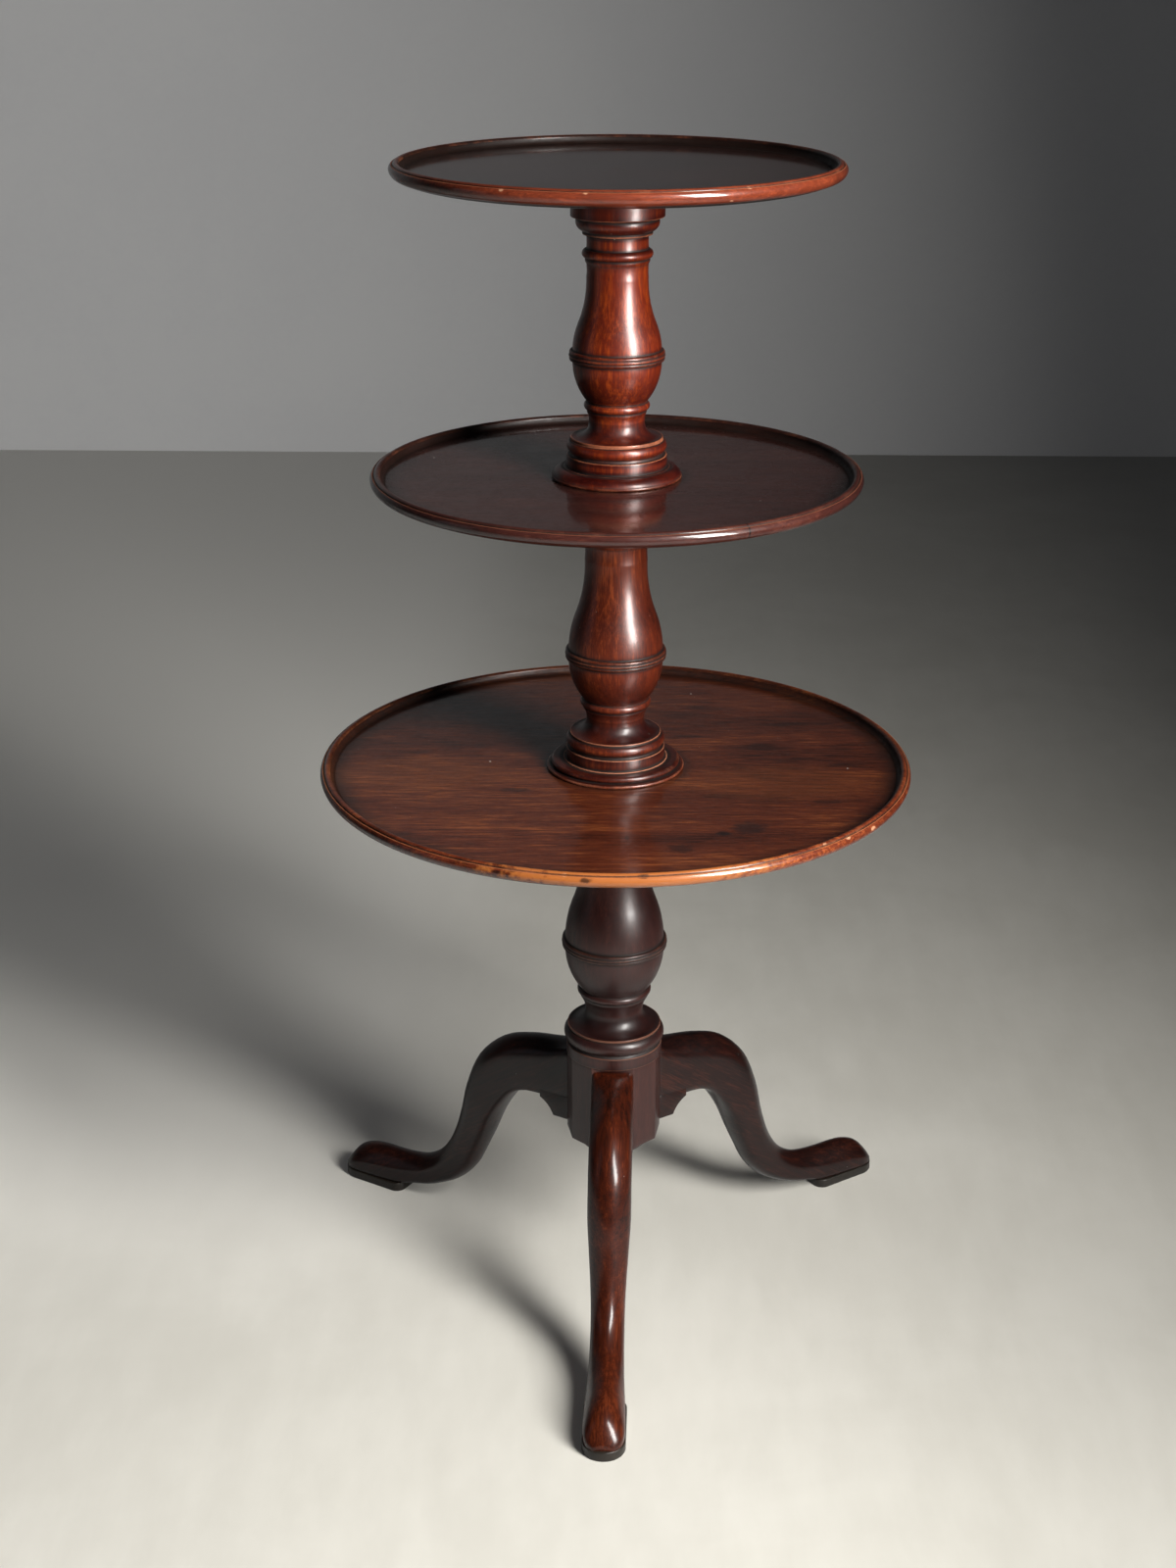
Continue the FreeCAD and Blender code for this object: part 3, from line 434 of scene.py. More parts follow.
def arc_points(start, end, rise):
    """Points of the arc after start, up to and including end."""
    chord = end - start
    side = Vector((chord.y, -chord.x)).normalized() * (1 if rise > 0 else -1)
    bulge = abs(rise)
    radius = (chord.length_squared / 4 + bulge * bulge) / (2 * bulge)
    half_angle = 2 * math.atan2(2 * bulge, chord.length)
    centre = (start + end) / 2 + side * (bulge - radius)
    count = max(4, math.ceil(2 * half_angle * radius / ARC_PITCH))
    forward = chord.normalized()
    angles = [half_angle * (2 * step / count - 1) for step in range(1, count)]
    return [centre + side * radius * math.cos(a) + forward * radius * math.sin(a) for a in angles] + [end]


def traced(stops, closed):
    """The stops with their arcs filled in."""
    points = [] if closed else [Vector(stops[0][:2])]
    pairs = zip(stops if closed else stops[1:], [stops[-1]] + stops[:-1] if closed else stops[:-1])
    for stop, before in pairs:
        if len(stop) == 3:
            points += arc_points(Vector(before[:2]), Vector(stop[:2]), stop[2])
        else:
            points.append(Vector(stop[:2]))
    return points


def neighbours(points, index, closed):
    count = len(points)
    if closed:
        return points[index - 1], points[(index + 1) % count]
    return points[max(index - 1, 0)], points[min(index + 1, count - 1)]


def turn_at(before, point, after):
    """Signed bend of the profile at a point, in degrees; a proud edge is positive."""
    into, out = point - before, after - point
    if into.length < 1e-6 or out.length < 1e-6:
        return 0.0
    return math.degrees(math.atan2(into.x * out.y - into.y * out.x, into.dot(out)))


def eased(points, closed):
    """Every sharp corner becomes three points on a small curve."""
    made = []
    for index, point in enumerate(points):
        before, after = neighbours(points, index, closed)
        if abs(turn_at(before, point, after)) < SHARP_TURN or point.x < 1e-6:
            made.append(point)
            continue
        first = point + (before - point) * min(CORNER / (before - point).length, 0.4)
        last = point + (after - point) * min(CORNER / (after - point).length, 0.4)
        made += [first, (first + last + point * 2) / 4, last]
    return made


def spaced(points, closed):
    """Long straight stretches get stops of their own, close by the corners and then evenly."""
    made = []
    count = len(points)
    for index, point in enumerate(points):
        made.append(point)
        if index == count - 1 and not closed:
            break
        run = points[(index + 1) % count] - point
        if run.length < LONG_RUN:
            continue
        near = NEAR_CORNER / run.length
        inner = max(1, round(run.length / (PITCH if run.length < WIDE_RUN else WIDE_PITCH)))
        shares = [near] + [step / inner for step in range(1, inner)] + [1 - near]
        made += [point + run * share for share in shares]
    return made


def hollow_depth(points, place, shelf):
    """How far a point lies behind the wider turnings above and below it, from 0 to 1."""
    here = points[place]
    wider = [shelf[0] - abs(shelf[1] - here.y) * SHELF_SLOPE]
    wider += [other.x - abs(other.y - here.y) * TURNING_SLOPE for other in points
              if abs(other.y - here.y) < HOLLOW_REACH]
    return min(max((max(wider) - here.x) / FULL_HOLLOW, 0.0), 1.0)


def felt(bends, places, place, reach):
    """The bends within reach of a place, each weighed by how near it is."""
    return sum(bend * (1 - abs(other - place) / reach)
               for bend, other in zip(bends, places) if abs(other - place) < reach) / FULL_BEND


def slope_around(points, places, index):
    """How steeply the radius changes over a few millimetres on both sides of a point."""
    first = max((i for i in range(index) if places[index] - places[i] > SLOPE_REACH), default=0)
    last = min((i for i in range(index, len(points)) if places[i] - places[index] > SLOPE_REACH),
               default=len(points) - 1)
    return abs(points[last].x - points[first].x) / max((points[last] - points[first]).length, 1e-6)


def proud_and_sunk(points, closed, shelf):
    """How far each point is proud, sunk and stained, from 0 to about 1.

    A shelf, as (radius, height), is what overhangs a column. In a column's hollows and under its
    shelf the sunk value adds old wax and painted shade, and the third value adds painted shade.
    Where the profile slopes across the grain, the third value tints it as end-grain staining.
    """
    bends, places = [], [0.0]
    for index, point in enumerate(points):
        before, after = neighbours(points, index, closed)
        bends.append(turn_at(before, point, after))
        if index:
            places.append(places[-1] + (point - points[index - 1]).length)
    outward, inward = [max(bend, 0.0) for bend in bends], [max(-bend, 0.0) for bend in bends]
    marks = []
    for index, place in enumerate(places):
        proud = felt(outward, places, place, PROUD_REACH)
        sunk = felt(inward, places, place, SUNK_REACH)
        stained_and_shaded = 0.0
        if shelf:
            hollow = hollow_depth(points, index, shelf)
            # Hollows and the shade under the shelf darken as old wax and as painted shade.
            sunk = max(sunk, HOLLOW_WAX_AND_SHADE * hollow)
            # Sloping faces get end-grain staining; hollows get painted shade.
            stained_and_shaded = min(1.0, 1.6 * slope_around(points, places, index) + 0.7 * hollow)
        marks.append((min(proud, 1.0), min(sunk, 1.0), stained_and_shaded))
    return marks


print("profile helpers ready, arc pitch:", ARC_PITCH, "mm")

# %% [markdown]
# ## Turning on the lathe
# Spinning a profile round Z is the same motion as a lathe, so bmesh's spin is the natural tool. A
# full spin needs use_merge to close its seam. Three layers travel with the profile's vertices and
# tell the finish where an edge is proud or sunk, and where the wood is darkened by staining and by
# painted shade. Points on the axis are merged, and the normals are set outwards once the skin is closed.

# %% Lathe
LAYERS = ("proud", "sunk", "stained_and_shaded")


def new_mesh():
    mesh = bmesh.new()
    for layer in LAYERS:
        mesh.verts.layers.float.new(layer)
    return mesh


def turned(stops, base, closed=False, steps=160, shelf=None):
    """A lathe-turned skin, from stops in millimetres above base."""
    points = spaced(eased(traced(stops, closed), closed), closed)
    mesh = new_mesh()
    layers = [mesh.verts.layers.float[layer] for layer in LAYERS]
    verts = []
    for point, marks in zip(points, proud_and_sunk(points, closed, shelf)):
        verts.append(mesh.verts.new((point.x * MM, 0.0, (point.y + base) * MM)))
        for layer, value in zip(layers, marks):
            verts[-1][layer] = value
    edges = [mesh.edges.new(pair) for pair in zip(verts, verts[1:])]
    if closed:
        edges.append(mesh.edges.new((verts[-1], verts[0])))
    bmesh.ops.spin(mesh, geom=verts + edges, cent=(0, 0, 0), axis=(0, 0, 1), dvec=(0, 0, 0),
                   angle=2 * math.pi, steps=steps, use_merge=True, use_normal_flip=False, use_duplicate=False)
    bmesh.ops.remove_doubles(mesh, verts=mesh.verts, dist=1e-6)
    bmesh.ops.recalc_face_normals(mesh, faces=mesh.faces)
    return mesh


def pulled(mesh, faces, move):
    """Extrudes faces and moves what is new."""
    grown = bmesh.ops.extrude_face_region(mesh, geom=faces)["geom"]
    bmesh.ops.translate(mesh, verts=[v for v in grown if isinstance(v, bmesh.types.BMVert)], vec=move)


def as_object(name, mesh, skin=None):
    """Writes a bmesh into a new object of the scene."""
    data = bpy.data.meshes.new(skin or name)
    mesh.to_mesh(data)
    mesh.free()
    made = bpy.data.objects.new(name, data)
    bpy.context.scene.collection.objects.link(made)
    return made


def stand_in(name, mesh, body, material):
    """Turns a bmesh into the piece that stands for the node of the same name."""
    for face in mesh.faces:
        face.smooth = True
    piece = as_object(name + "_finished", mesh, name + "_skin")
    piece.data.materials.append(material)
    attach(piece, body)
    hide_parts(name)
    print(name, "faces:", len(piece.data.polygons))


print("layers stored at each vertex:", LAYERS)

# %% [markdown]
# ## Columns
# The three columns share one pattern, from the bottom up: torus, hollow, small ring, vase with a
# reeded belly ring, neck, astragal, and a capital with a plain band under the tray. The upper two
# stand on a spreading foot with a socket that takes the spigot below. Sizes are the measured ones.

# %% Column profiles
SPIGOT = 15.0
OVERHANG = 58.0
BAND_RADIUS = 42.4
CAPITAL_HEIGHT = 15.7
TORUS_LIFT, TORUS_FILLET = 2.6, 2.5
COLUMNS = {
    "lower": dict(base=154.4, length=378.9, foot=103.9, torus=50.6, torus_height=15.2, waist=(29.3, 143.0),
                  ring=(37.1, 161.6), belly=(52.75, 214.6), shaft=(31.0, 321.6), neck=13.0, band=16.9,
                  spigot=431.8),
    "middle": dict(base=557.2, length=263.1, foot=21.4, torus=47.4, torus_height=9.6, waist=(28.3, 53.0),
                   ring=(33.9, 66.5), belly=(48.4, 115.0), shaft=(29.6, 208.0), neck=2.5, band=8.9,
                   spigot=316.0, flange=65.5, drum=47.5),
    "upper": dict(base=844.2, length=253.6, foot=21.4, torus=46.1, torus_height=11.3, waist=(25.7, 53.0),
                  ring=(30.3, 66.7), belly=(44.1, 112.8), shaft=(28.1, 183.0), neck=13.0, band=16.9,
                  spigot=269.8, flange=59.5, drum=46.2),
}


def vase_stops(c):
    """From the hollow above the torus to the top of the spigot."""
    waist, waist_height = c["waist"]
    ring, ring_height = c["ring"]
    belly, belly_height = c["belly"]
    shaft, shaft_height = c["shaft"]
    vase = belly - 3.3
    reed = 3.2
    foot = belly_height - 4.8
    belly_top = foot + reed * 3
    turn = (shaft + (vase - shaft) * 0.58, belly_height + (shaft_height - belly_height) * 0.415)
    torus_top = c["foot"] + TORUS_LIFT + c["torus_height"]
    scotia = (waist_height - torus_top - TORUS_FILLET) * 0.36
    capital = c["length"] - c["band"] - CAPITAL_HEIGHT
    astragal = capital - c["neck"]
    fillet = shaft + 3.6
    return [
        (waist, waist_height, -scotia),
        (ring - 2.8, ring_height - 6.3, -0.6),
        (ring - 2.8, ring_height - 3.8),
        (ring - 2.8, ring_height + 3.8, 2.8),
        (vase, foot, (foot - ring_height) * 0.085),
        (belly - 1.8, foot),
        (belly - 0.9, foot + reed, 0.9),
        (belly - 0.9, foot + reed * 2, 0.9),
        (belly - 1.8, belly_top, 0.9),
        (vase, belly_top),
        turn + ((turn[1] - foot - reed * 3) * 0.042,),
        (shaft, shaft_height, -(shaft_height - turn[1]) * 0.052),
        (shaft, astragal - 13.0, -0.4),
        (shaft + 1.25, astragal - 10.5),
        (shaft + 1.25, astragal - 8.0),
        (shaft + 1.25, astragal, 2.75),
        (shaft, astragal),
        (shaft, capital, -0.3),
        (fillet, capital),
        (fillet, capital + 2.9),
        (fillet + 6.0, capital + 12.8, 2.16),
        (fillet + 6.0, capital + 14.25),
        (BAND_RADIUS, capital + CAPITAL_HEIGHT),
        (BAND_RADIUS, c["length"]),
        (SPIGOT, c["length"]),
        (SPIGOT, c["spigot"]),
        (0.0, c["spigot"]),
    ]


def torus_stops(c):
    """The round over the foot, between its two fillets."""
    torus, foot, tall = c["torus"], c["foot"], c["torus_height"]
    inner = torus - tall * 0.32
    top = foot + TORUS_LIFT + tall
    fillet_top = foot + 5.1 + tall
    return [(torus - 2.8, foot), (inner, foot + TORUS_LIFT), (inner, top, tall * 0.32), (torus - 3.6, top),
            (torus - 3.6, fillet_top), (torus - 4.85, fillet_top)]


def foot_stops(c, beaded):
    """Socket and spreading foot of the upper two columns."""
    flange, drum = c["flange"], c["drum"]
    spread = [(drum + 3.6, 9.5, (flange - drum) * 0.16)]
    if beaded:
        bead = drum + (flange - drum) * 0.68
        spread = [(bead, 3.9), (bead, 9.5, 2.22), (drum + 2.7, 9.5)]
    socket = [(0.0, 30.0), (SPIGOT + 0.05, 30.0), (SPIGOT + 0.05, 0.0), (flange, 0.0), (flange, 3.0, 0.9)]
    return socket + spread + [(drum + 2.7, 10.4), (drum, 10.4), (drum, 21.4, 0.3)]


for word, beaded, wood in (("upper", False, upper_wood), ("middle", True, middle_wood)):
    sizes = COLUMNS[word]
    profile = foot_stops(sizes, beaded) + torus_stops(sizes) + vase_stops(sizes)
    column = turned(profile, sizes["base"], shelf=(OVERHANG, sizes["length"]))
    stand_in(word + "_column", column, "stand", wood)

# %% [markdown]
# ## Lower column and its block
# The lowest column ends in a block that the turner left round and the joiner then cut to nine flats:
# three seats for the legs, with two flats between each pair. A nine-sided prism, eased along its
# edges, stands for the block, and reaches a millimetre into the turned part above it.

# %% Lower column
LEG_BEARINGS = {"front": 268.6, "right": 34.2, "left": 149.0}
SEAT = 43.1
BLOCK = dict(radius=48.3, bottom=154.4, flats_top=246.0, half_seat=21.2)


def around(bearing, out, across=0.0):
    """A point at a distance out along a bearing, in degrees, and across to its left, in millimetres."""
    angle = math.radians(bearing)
    return Vector((math.cos(angle) * out - math.sin(angle) * across,
                   math.sin(angle) * out + math.cos(angle) * across, 0.0))


def block_corners():
    bearings = sorted(LEG_BEARINGS.values())
    corners = []
    for index, bearing in enumerate(bearings):
        following = bearings[(index + 1) % 3] + (360 if index == 2 else 0)
        corners += [around(bearing, SEAT, -BLOCK["half_seat"]), around(bearing, SEAT, BLOCK["half_seat"]),
                    around((bearing + following) / 2, BLOCK["radius"])]
    return corners


CARVED_REACH, CARVED_BEND = 0.0024, 55


def mark_edges(mesh):
    """Stores how proud or sunk a carved surface is at each vertex, from the bend across its edges."""
    proud, sunk = mesh.verts.layers.float["proud"], mesh.verts.layers.float["sunk"]
    for vert in mesh.verts:
        out = into = 0.0
        for edge in vert.link_edges:
            if len(edge.link_faces) != 2:
                continue
            here, there = (face.calc_center_median() for face in edge.link_faces)
            nearness = min(1.0, CARVED_REACH / max((here - there).length, 1e-5))
            bend = math.degrees(edge.calc_face_angle_signed(0.0)) * nearness / CARVED_BEND
            out, into = max(out, bend), max(into, -bend)
        vert[proud], vert[sunk] = min(out, 1.0), min(into, 1.0)


def soften(mesh, amount, sharper_than=30, segments=2):
    """Eases every edge that is sharper than the given angle."""
    sharp = [edge for edge in mesh.edges
             if len(edge.link_faces) == 2 and edge.calc_face_angle(0.0) > math.radians(sharper_than)]
    bmesh.ops.bevel(mesh, geom=sharp, offset=amount, offset_type="OFFSET", segments=segments, profile=0.5,
                    affect="EDGES", material=-1, clamp_overlap=True)


block = new_mesh()
ring = bmesh.ops.create_circle(block, cap_ends=True, segments=9, radius=BLOCK["radius"] * MM)["verts"]
for vert, corner in zip(ring, block_corners()):
    vert.co = corner * MM + Vector((0, 0, BLOCK["bottom"] * MM))
pulled(block, block.faces[:], (0, 0, (BLOCK["flats_top"] + 1.0 - BLOCK["bottom"]) * MM))
bmesh.ops.recalc_face_normals(block, faces=block.faces)
upright_edges = [edge for edge in block.edges if abs((edge.verts[0].co - edge.verts[1].co).z) > 0.01]
bmesh.ops.subdivide_edges(block, edges=upright_edges, cuts=12)
soften(block, 0.0006)
mark_edges(block)

lower = COLUMNS["lower"]
above_block = [(0.0, 91.6), (BLOCK["radius"], 91.6), (BLOCK["radius"], lower["foot"])]
profile = above_block + torus_stops(lower) + vase_stops(lower)
column = turned(profile, lower["base"], shelf=(OVERHANG, lower["length"]))
holder = bpy.data.meshes.new("block_holder")
block.to_mesh(holder)
block.free()
column.from_mesh(holder)
stand_in("lower_column", column, "stand", lower_wood)

# %% [markdown]
# ## Block cap
# A turned disc closes the leg housings from below. Only its rounded edge ever shows.

# %% Block cap
dark_tones = dict(deep=(0.004, 0.002, 0.002), body=(0.014, 0.004, 0.003), bright=(0.045, 0.011, 0.006),
                  bare=(0.060, 0.018, 0.010))
red_tones = dict(deep=(0.010, 0.003, 0.002), body=(0.046, 0.008, 0.003), bright=(0.120, 0.023, 0.007),
                 bare=(0.130, 0.032, 0.014))
leg_polish = dict(dull=0.34, duller=0.46, gloss=0.17, film=0.50, shine=0.16)
cap_wood = mahogany("cap_mahogany", grain_turn=UPRIGHT, **dark_tones, **leg_polish)
cap_stops = [(0.0, 139.4), (26.0, 139.4), (35.0, 147.4, 2.52), (35.0, 154.4), (0.0, 154.4)]
stand_in("block_cap", turned(cap_stops, 0.0, steps=96), "stand", cap_wood)

# %% [markdown]
# ## Trays
# Each tray is one board, turned on both faces: a thin floor, a cove, a bead on the rim, and an
# underside that thins towards the edge. The top tray's bore stops short of its floor. The grain runs
# straight across and is fixed to the tray, so it turns with it. Each has marks of its own: pale
# patches, dark stains, specks of dust, and chips in the rim.

# %% Trays
TRAY = dict(thick=17.5, floor=9.5, bore=15.08)


def tray_stops(radius, through):
    arris = radius - 2.5
    groove = arris - 1.1
    bead = groove - 6.0
    cove = bead - 4.2
    stops = [
        (radius - 26.0, 0.0),
        (radius - 7.02, 3.85, 1.04),
        (radius, 11.6, 1.925),
        (arris, 15.6, 0.5),
        (groove, 14.7),
        (groove, 15.5),
        (bead, 15.5, 2.0),
        (cove, TRAY["floor"], -1.26),
    ]
    if through:
        stops += [(TRAY["bore"], TRAY["floor"]), (TRAY["bore"], 0.0)]
    else:
        stops += [(0.0, TRAY["floor"]), (0.0, 4.0), (TRAY["bore"], 4.0), (TRAY["bore"], 0.0)]
    return stops


PALE_PATCH = (0.260, 0.080, 0.020)
DARK_STAIN = (0.016, 0.006, 0.005)
BLACK_MARK = (0.006, 0.003, 0.003)
ORANGE_RIM = (0.450, 0.145, 0.034)
DUST_SPECK = (0.60, 0.54, 0.48)
CHIP = (0.50, 0.26, 0.15)
ROUND = (1.0, 1.0, 1.0)


def marks_at(height, on_rim, *kinds):
    """Marks of several kinds. Each kind gives its places, its tint, reach, strength, shape and fray.

    A place is (x, y) at the given height, or (x, y, z), in metres.
    """
    return [(place if len(place) == 3 else place + (height,), shape, reach, fray, strength, tint, on_rim)
            for places, tint, reach, strength, shape, fray in kinds for place in places]


lower_marks = marks_at(
    0.557, False,
    ([(-0.19, -0.028), (0.16, -0.045)], PALE_PATCH, 0.075, 0.12, (0.6, 1.3, 1.0), 0.8),
    ([(0.1225, -0.1575)], DARK_STAIN, 0.020, 0.75, ROUND, 1.0),
    ([(0.098, -0.1703)], BLACK_MARK, 0.006, 0.8, (0.7, 1.0, 1.0), 1.0),
    ([(0.059, -0.2054)], BLACK_MARK, 0.012, 0.6, (0.8, 1.0, 1.0), 1.4),
    ([(0.0111, -0.1816)], BLACK_MARK, 0.007, 0.8, (2.4, 1.0, 1.0), 0.6),
    ([(0.1991, -0.0929), (-0.0951, -0.0671), (0.0729, 0.0798)], BLACK_MARK, 0.010, 0.55, (0.5, 1.6, 1.0),
     1.2),
    ([(0.2251, -0.0073), (0.0794, 0.2059), (-0.1221, 0.0068)], DUST_SPECK, 0.0012, 0.8, ROUND, 1.0),
) + marks_at(
    0.562, True,
    ([(0.02, -0.283)], ORANGE_RIM, 0.110, 0.70, (0.62, 1.5, 3.0), 2.2),
    ([(-0.044, -0.2806, 0.5641), (0.1888, -0.2122, 0.5645), (0.21, -0.192, 0.563), (0.2332, -0.1621, 0.5595)],
     CHIP, 0.0030, 0.9, (0.7, 0.7, 1.6), 2.2),
    ([(-0.09, -0.27, 0.564), (-0.102, -0.265, 0.56), (0.025, -0.2815, 0.564), (-0.025, -0.283, 0.56)],
     BLACK_MARK, 0.0040, 0.8, (0.6, 1.0, 1.4), 1.2),
)
top_marks = marks_at(
    1.126, True,
    ([(-0.0951, -0.1777, 1.1266), (-0.0596, -0.1925, 1.1286), (-0.0263, -0.1998, 1.1273),
      (0.0667, -0.1901, 1.129), (0.0936, -0.1784, 1.1177)], CHIP, 0.0020, 0.8, (0.7, 0.7, 1.4), 2.0),
    ([(0.1081, -0.17, 1.1282)], CHIP, 0.0046, 0.9, (1.0, 1.0, 2.4), 1.2),
)
middle_marks = marks_at(
    0.844, False, ([(-0.1741, 0.068), (0.1284, -0.0871)], DUST_SPECK, 0.0012, 0.8, ROUND, 1.0))
tray_polish = dict(dull=0.34, duller=0.50, film=1.0, shine=0.25)
tray_wood = {
    "top": mahogany("top_tray_mahogany", (0.007, 0.003, 0.003), (0.025, 0.008, 0.006), (0.056, 0.019, 0.012),
                    (0.36, 0.11, 0.05), rim=0.194, rim_gain=(5.2, 2.9, 1.6), contrast=1.6, gloss=0.10,
                    spots=top_marks, **tray_polish),
    "middle": mahogany("middle_tray_mahogany", (0.010, 0.004, 0.003), (0.036, 0.010, 0.008),
                       (0.080, 0.026, 0.018), (0.20, 0.065, 0.035), rim=0.2195, hub=0.0595,
                       rim_gain=(1.1, 1.0, 0.95), contrast=1.6, gloss=0.10, spots=middle_marks, joint=-60.1,
                       **tray_polish),
    "lower": mahogany("lower_tray_mahogany", (0.018, 0.004, 0.002), (0.080, 0.016, 0.006),
                      (0.235, 0.065, 0.018), (0.36, 0.12, 0.05), rim=0.2765, hub=0.0655,
                      rim_gain=(1.5, 1.3, 1.2), contrast=2.2, gloss=0.15, spots=lower_marks, **tray_polish),
}
for word, radius, base in (("top", 202.5, 1112.0), ("middle", 228.0, 834.5), ("lower", 285.0, 547.5)):
    tray = turned(tray_stops(radius, word != "top"), base, closed=True, steps=288)
    stand_in(word + "_tray", tray, word + "_tier", tray_wood[word])

# %% [markdown]
# ## Legs
# A cabriole leg is sawn from a board and then rounded by hand: flat at the sides, crowned on top,
# with a knee, a thin ankle and a long pointed foot. The rows below are chords across it, from its
# top line to its under line, as shares of its reach and of its height. Rings set on those chords and
# bridged give one even skin, which is easier to control here than sculpting.

# %% Leg rows
LEG = dict(top=242.0, sole=10.0, reach=344.4, knee=42.4, ankle=33.0, foot=40.0)
LEG_REACH = LEG["reach"] - SEAT
LEG_HEIGHT = LEG["top"] - LEG["sole"]
SECTION_POINTS = (8, 6, 16, 6)


def mix(first, second, share):
    return first + (second - first) * share


def leg_rows():
    """Each row: top line (out, up), under line (out, up), width, crown and belly as shares of it."""
    knee, ankle, foot = LEG["knee"], LEG["ankle"], LEG["foot"]
    return [
        (0.000, 1.000, 0.000, 0.724, knee, 0.02, 0.01),
        (0.096, 0.990, 0.116, 0.724, knee, 0.28, 0.01),
        (0.203, 0.968, 0.185, 0.714, knee, 0.35, 0.02),
        (0.307, 0.918, 0.235, 0.679, knee, 0.35, 0.05),
        (0.400, 0.803, 0.279, 0.604, knee, 0.35, 0.10),
        (0.454, 0.642, 0.319, 0.513, knee, 0.35, 0.14),
        (0.481, 0.500, 0.350, 0.413, mix(knee, ankle, 0.35), 0.36, 0.18),
        (0.509, 0.382, 0.387, 0.308, mix(knee, ankle, 0.70), 0.36, 0.19),
        (0.543, 0.288, 0.432, 0.194, mix(knee, ankle, 0.95), 0.38, 0.20),
        (0.588, 0.215, 0.502, 0.100, ankle, 0.38, 0.20),
        (0.649, 0.166, 0.596, 0.037, mix(ankle, foot, 0.10), 0.38, 0.15),
        (0.713, 0.147, 0.684, 0.012, mix(ankle, foot, 0.30), 0.40, 0.08),
        (0.776, 0.141, 0.766, -0.005, mix(ankle, foot, 0.60), 0.42, 0.01),
        (0.843, 0.139, 0.843, -0.005, mix(ankle, foot, 0.90), 0.43, 0.01),
        (0.896, 0.129, 0.896, -0.005, foot, 0.41, 0.01),
        (0.942, 0.104, 0.942, -0.005, foot * 0.98, 0.36, 0.01),
        (0.974, 0.062, 0.974, -0.005, foot * 0.82, 0.26, 0.01),
        (0.993, 0.024, 0.993, -0.005, foot * 0.50, 0.14, 0.01),
    ]


def smoothed(rows, between=3):
    """More rows between the given ones, on a curve through them."""
    made = []
    for index in range(len(rows) - 1):
        before = rows[max(index - 1, 0)]
        first, second = rows[index], rows[index + 1]
        after = rows[min(index + 2, len(rows) - 1)]
        for step in range(between + 1):
            t = step / (between + 1)
            made.append(tuple(
                0.5 * (2 * b + (c - a) * t + (2 * a - 5 * b + 4 * c - d) * t * t
                       + (3 * b - a - 3 * c + d) * t ** 3)
                for a, b, c, d in zip(before, first, second, after)))
    return made + [rows[-1]]


def section(width, depth, crown, belly):
    """A leg's section: belly, side, crown and side, with the same number of points every time."""
    half = width / 2
    corners = [Vector((-half, belly)), Vector((half, belly)), Vector((half, depth - crown)),
               Vector((-half, depth - crown))]
    points, corner_numbers = [], []
    for start, end, rise, count in zip(corners, corners[1:] + corners[:1], (belly, 0.0, crown, 0.0),
                                       SECTION_POINTS):
        corner_numbers.append(len(points))
        side = Vector(((end - start).y, -(end - start).x)).normalized()
        for share in (step / count for step in range(count)):
            lift = rise * (1 - (2 * share - 1) ** 2)
            points.append(start + (end - start) * share + side * lift)
    count = len(points)
    return [(points[i - 1] + points[i] * 2 + points[(i + 1) % count]) / 4 if i in corner_numbers
            else points[i] for i in range(count)]


print("leg rows:", len(leg_rows()), "smoothed to", len(smoothed(leg_rows())))

# %% [markdown]
# The leg is built along +X and swung to its bearing afterwards. Its sole is cut flat with a plane,
# and the small stepped bracket under the seat is a separate block that a Boolean joins on, so that
# the whole leg is one closed skin.

# %% Leg skin
def leg_skin():
    mesh = new_mesh()
    rings = []
    for top_out, top_up, under_out, under_up, width, crown, belly in smoothed(leg_rows()):
        top = Vector((SEAT + LEG_REACH * top_out, LEG["sole"] + LEG_HEIGHT * top_up))
        under = Vector((SEAT + LEG_REACH * under_out, LEG["sole"] + LEG_HEIGHT * under_up))
        chord = top - under
        points = section(width, chord.length, width * crown, width * belly)
        ring = bmesh.ops.create_circle(mesh, cap_ends=False, segments=len(points), radius=MM)["verts"]
        for vert, point in zip(ring, points):
            place = under + chord.normalized() * point.y
            vert.co = Vector((place.x, point.x, place.y)) * MM
        rings.append(ring)
    loops = [[edge for edge in mesh.edges if edge.verts[0] in ring and edge.verts[1] in ring]
             for ring in [set(ring) for ring in rings]]
    for first, second in zip(loops, loops[1:]):
        bmesh.ops.bridge_loops(mesh, edges=first + second)
    for loop in (loops[0], loops[-1]):
        bmesh.ops.edgeloop_fill(mesh, edges=loop)
    bmesh.ops.recalc_face_normals(mesh, faces=mesh.faces)
    cut = bmesh.ops.bisect_plane(mesh, geom=mesh.verts[:] + mesh.edges[:] + mesh.faces[:], dist=1e-7,
                                 plane_co=(0, 0, LEG["sole"] * MM), plane_no=(0, 0, 1), clear_inner=True)
    rim = [item for item in cut["geom_cut"] if isinstance(item, bmesh.types.BMEdge)]
    bmesh.ops.edgeloop_fill(mesh, edges=rim)
    bmesh.ops.recalc_face_normals(mesh, faces=mesh.faces)
    return mesh


def bracket_block():
    """The stepped bracket: flat at its foot, then a hollow that runs up into the leg."""
    outline = traced([(SEAT, 160.0), (SEAT + 18.0, 160.0), (SEAT + 34.4, 177.2, -2.3), (SEAT + 34.4, 185.8),
                      (SEAT, 185.8)], True)
    half = LEG["knee"] / 2 - 0.3
    mesh = new_mesh()
    verts = [mesh.verts.new(Vector((point.x, -half, point.y)) * MM) for point in outline]
    pulled(mesh, [mesh.faces.new(verts)], (0, 2 * half * MM, 0))
    bmesh.ops.recalc_face_normals(mesh, faces=mesh.faces)
    soften(mesh, 0.0007)
    return mesh


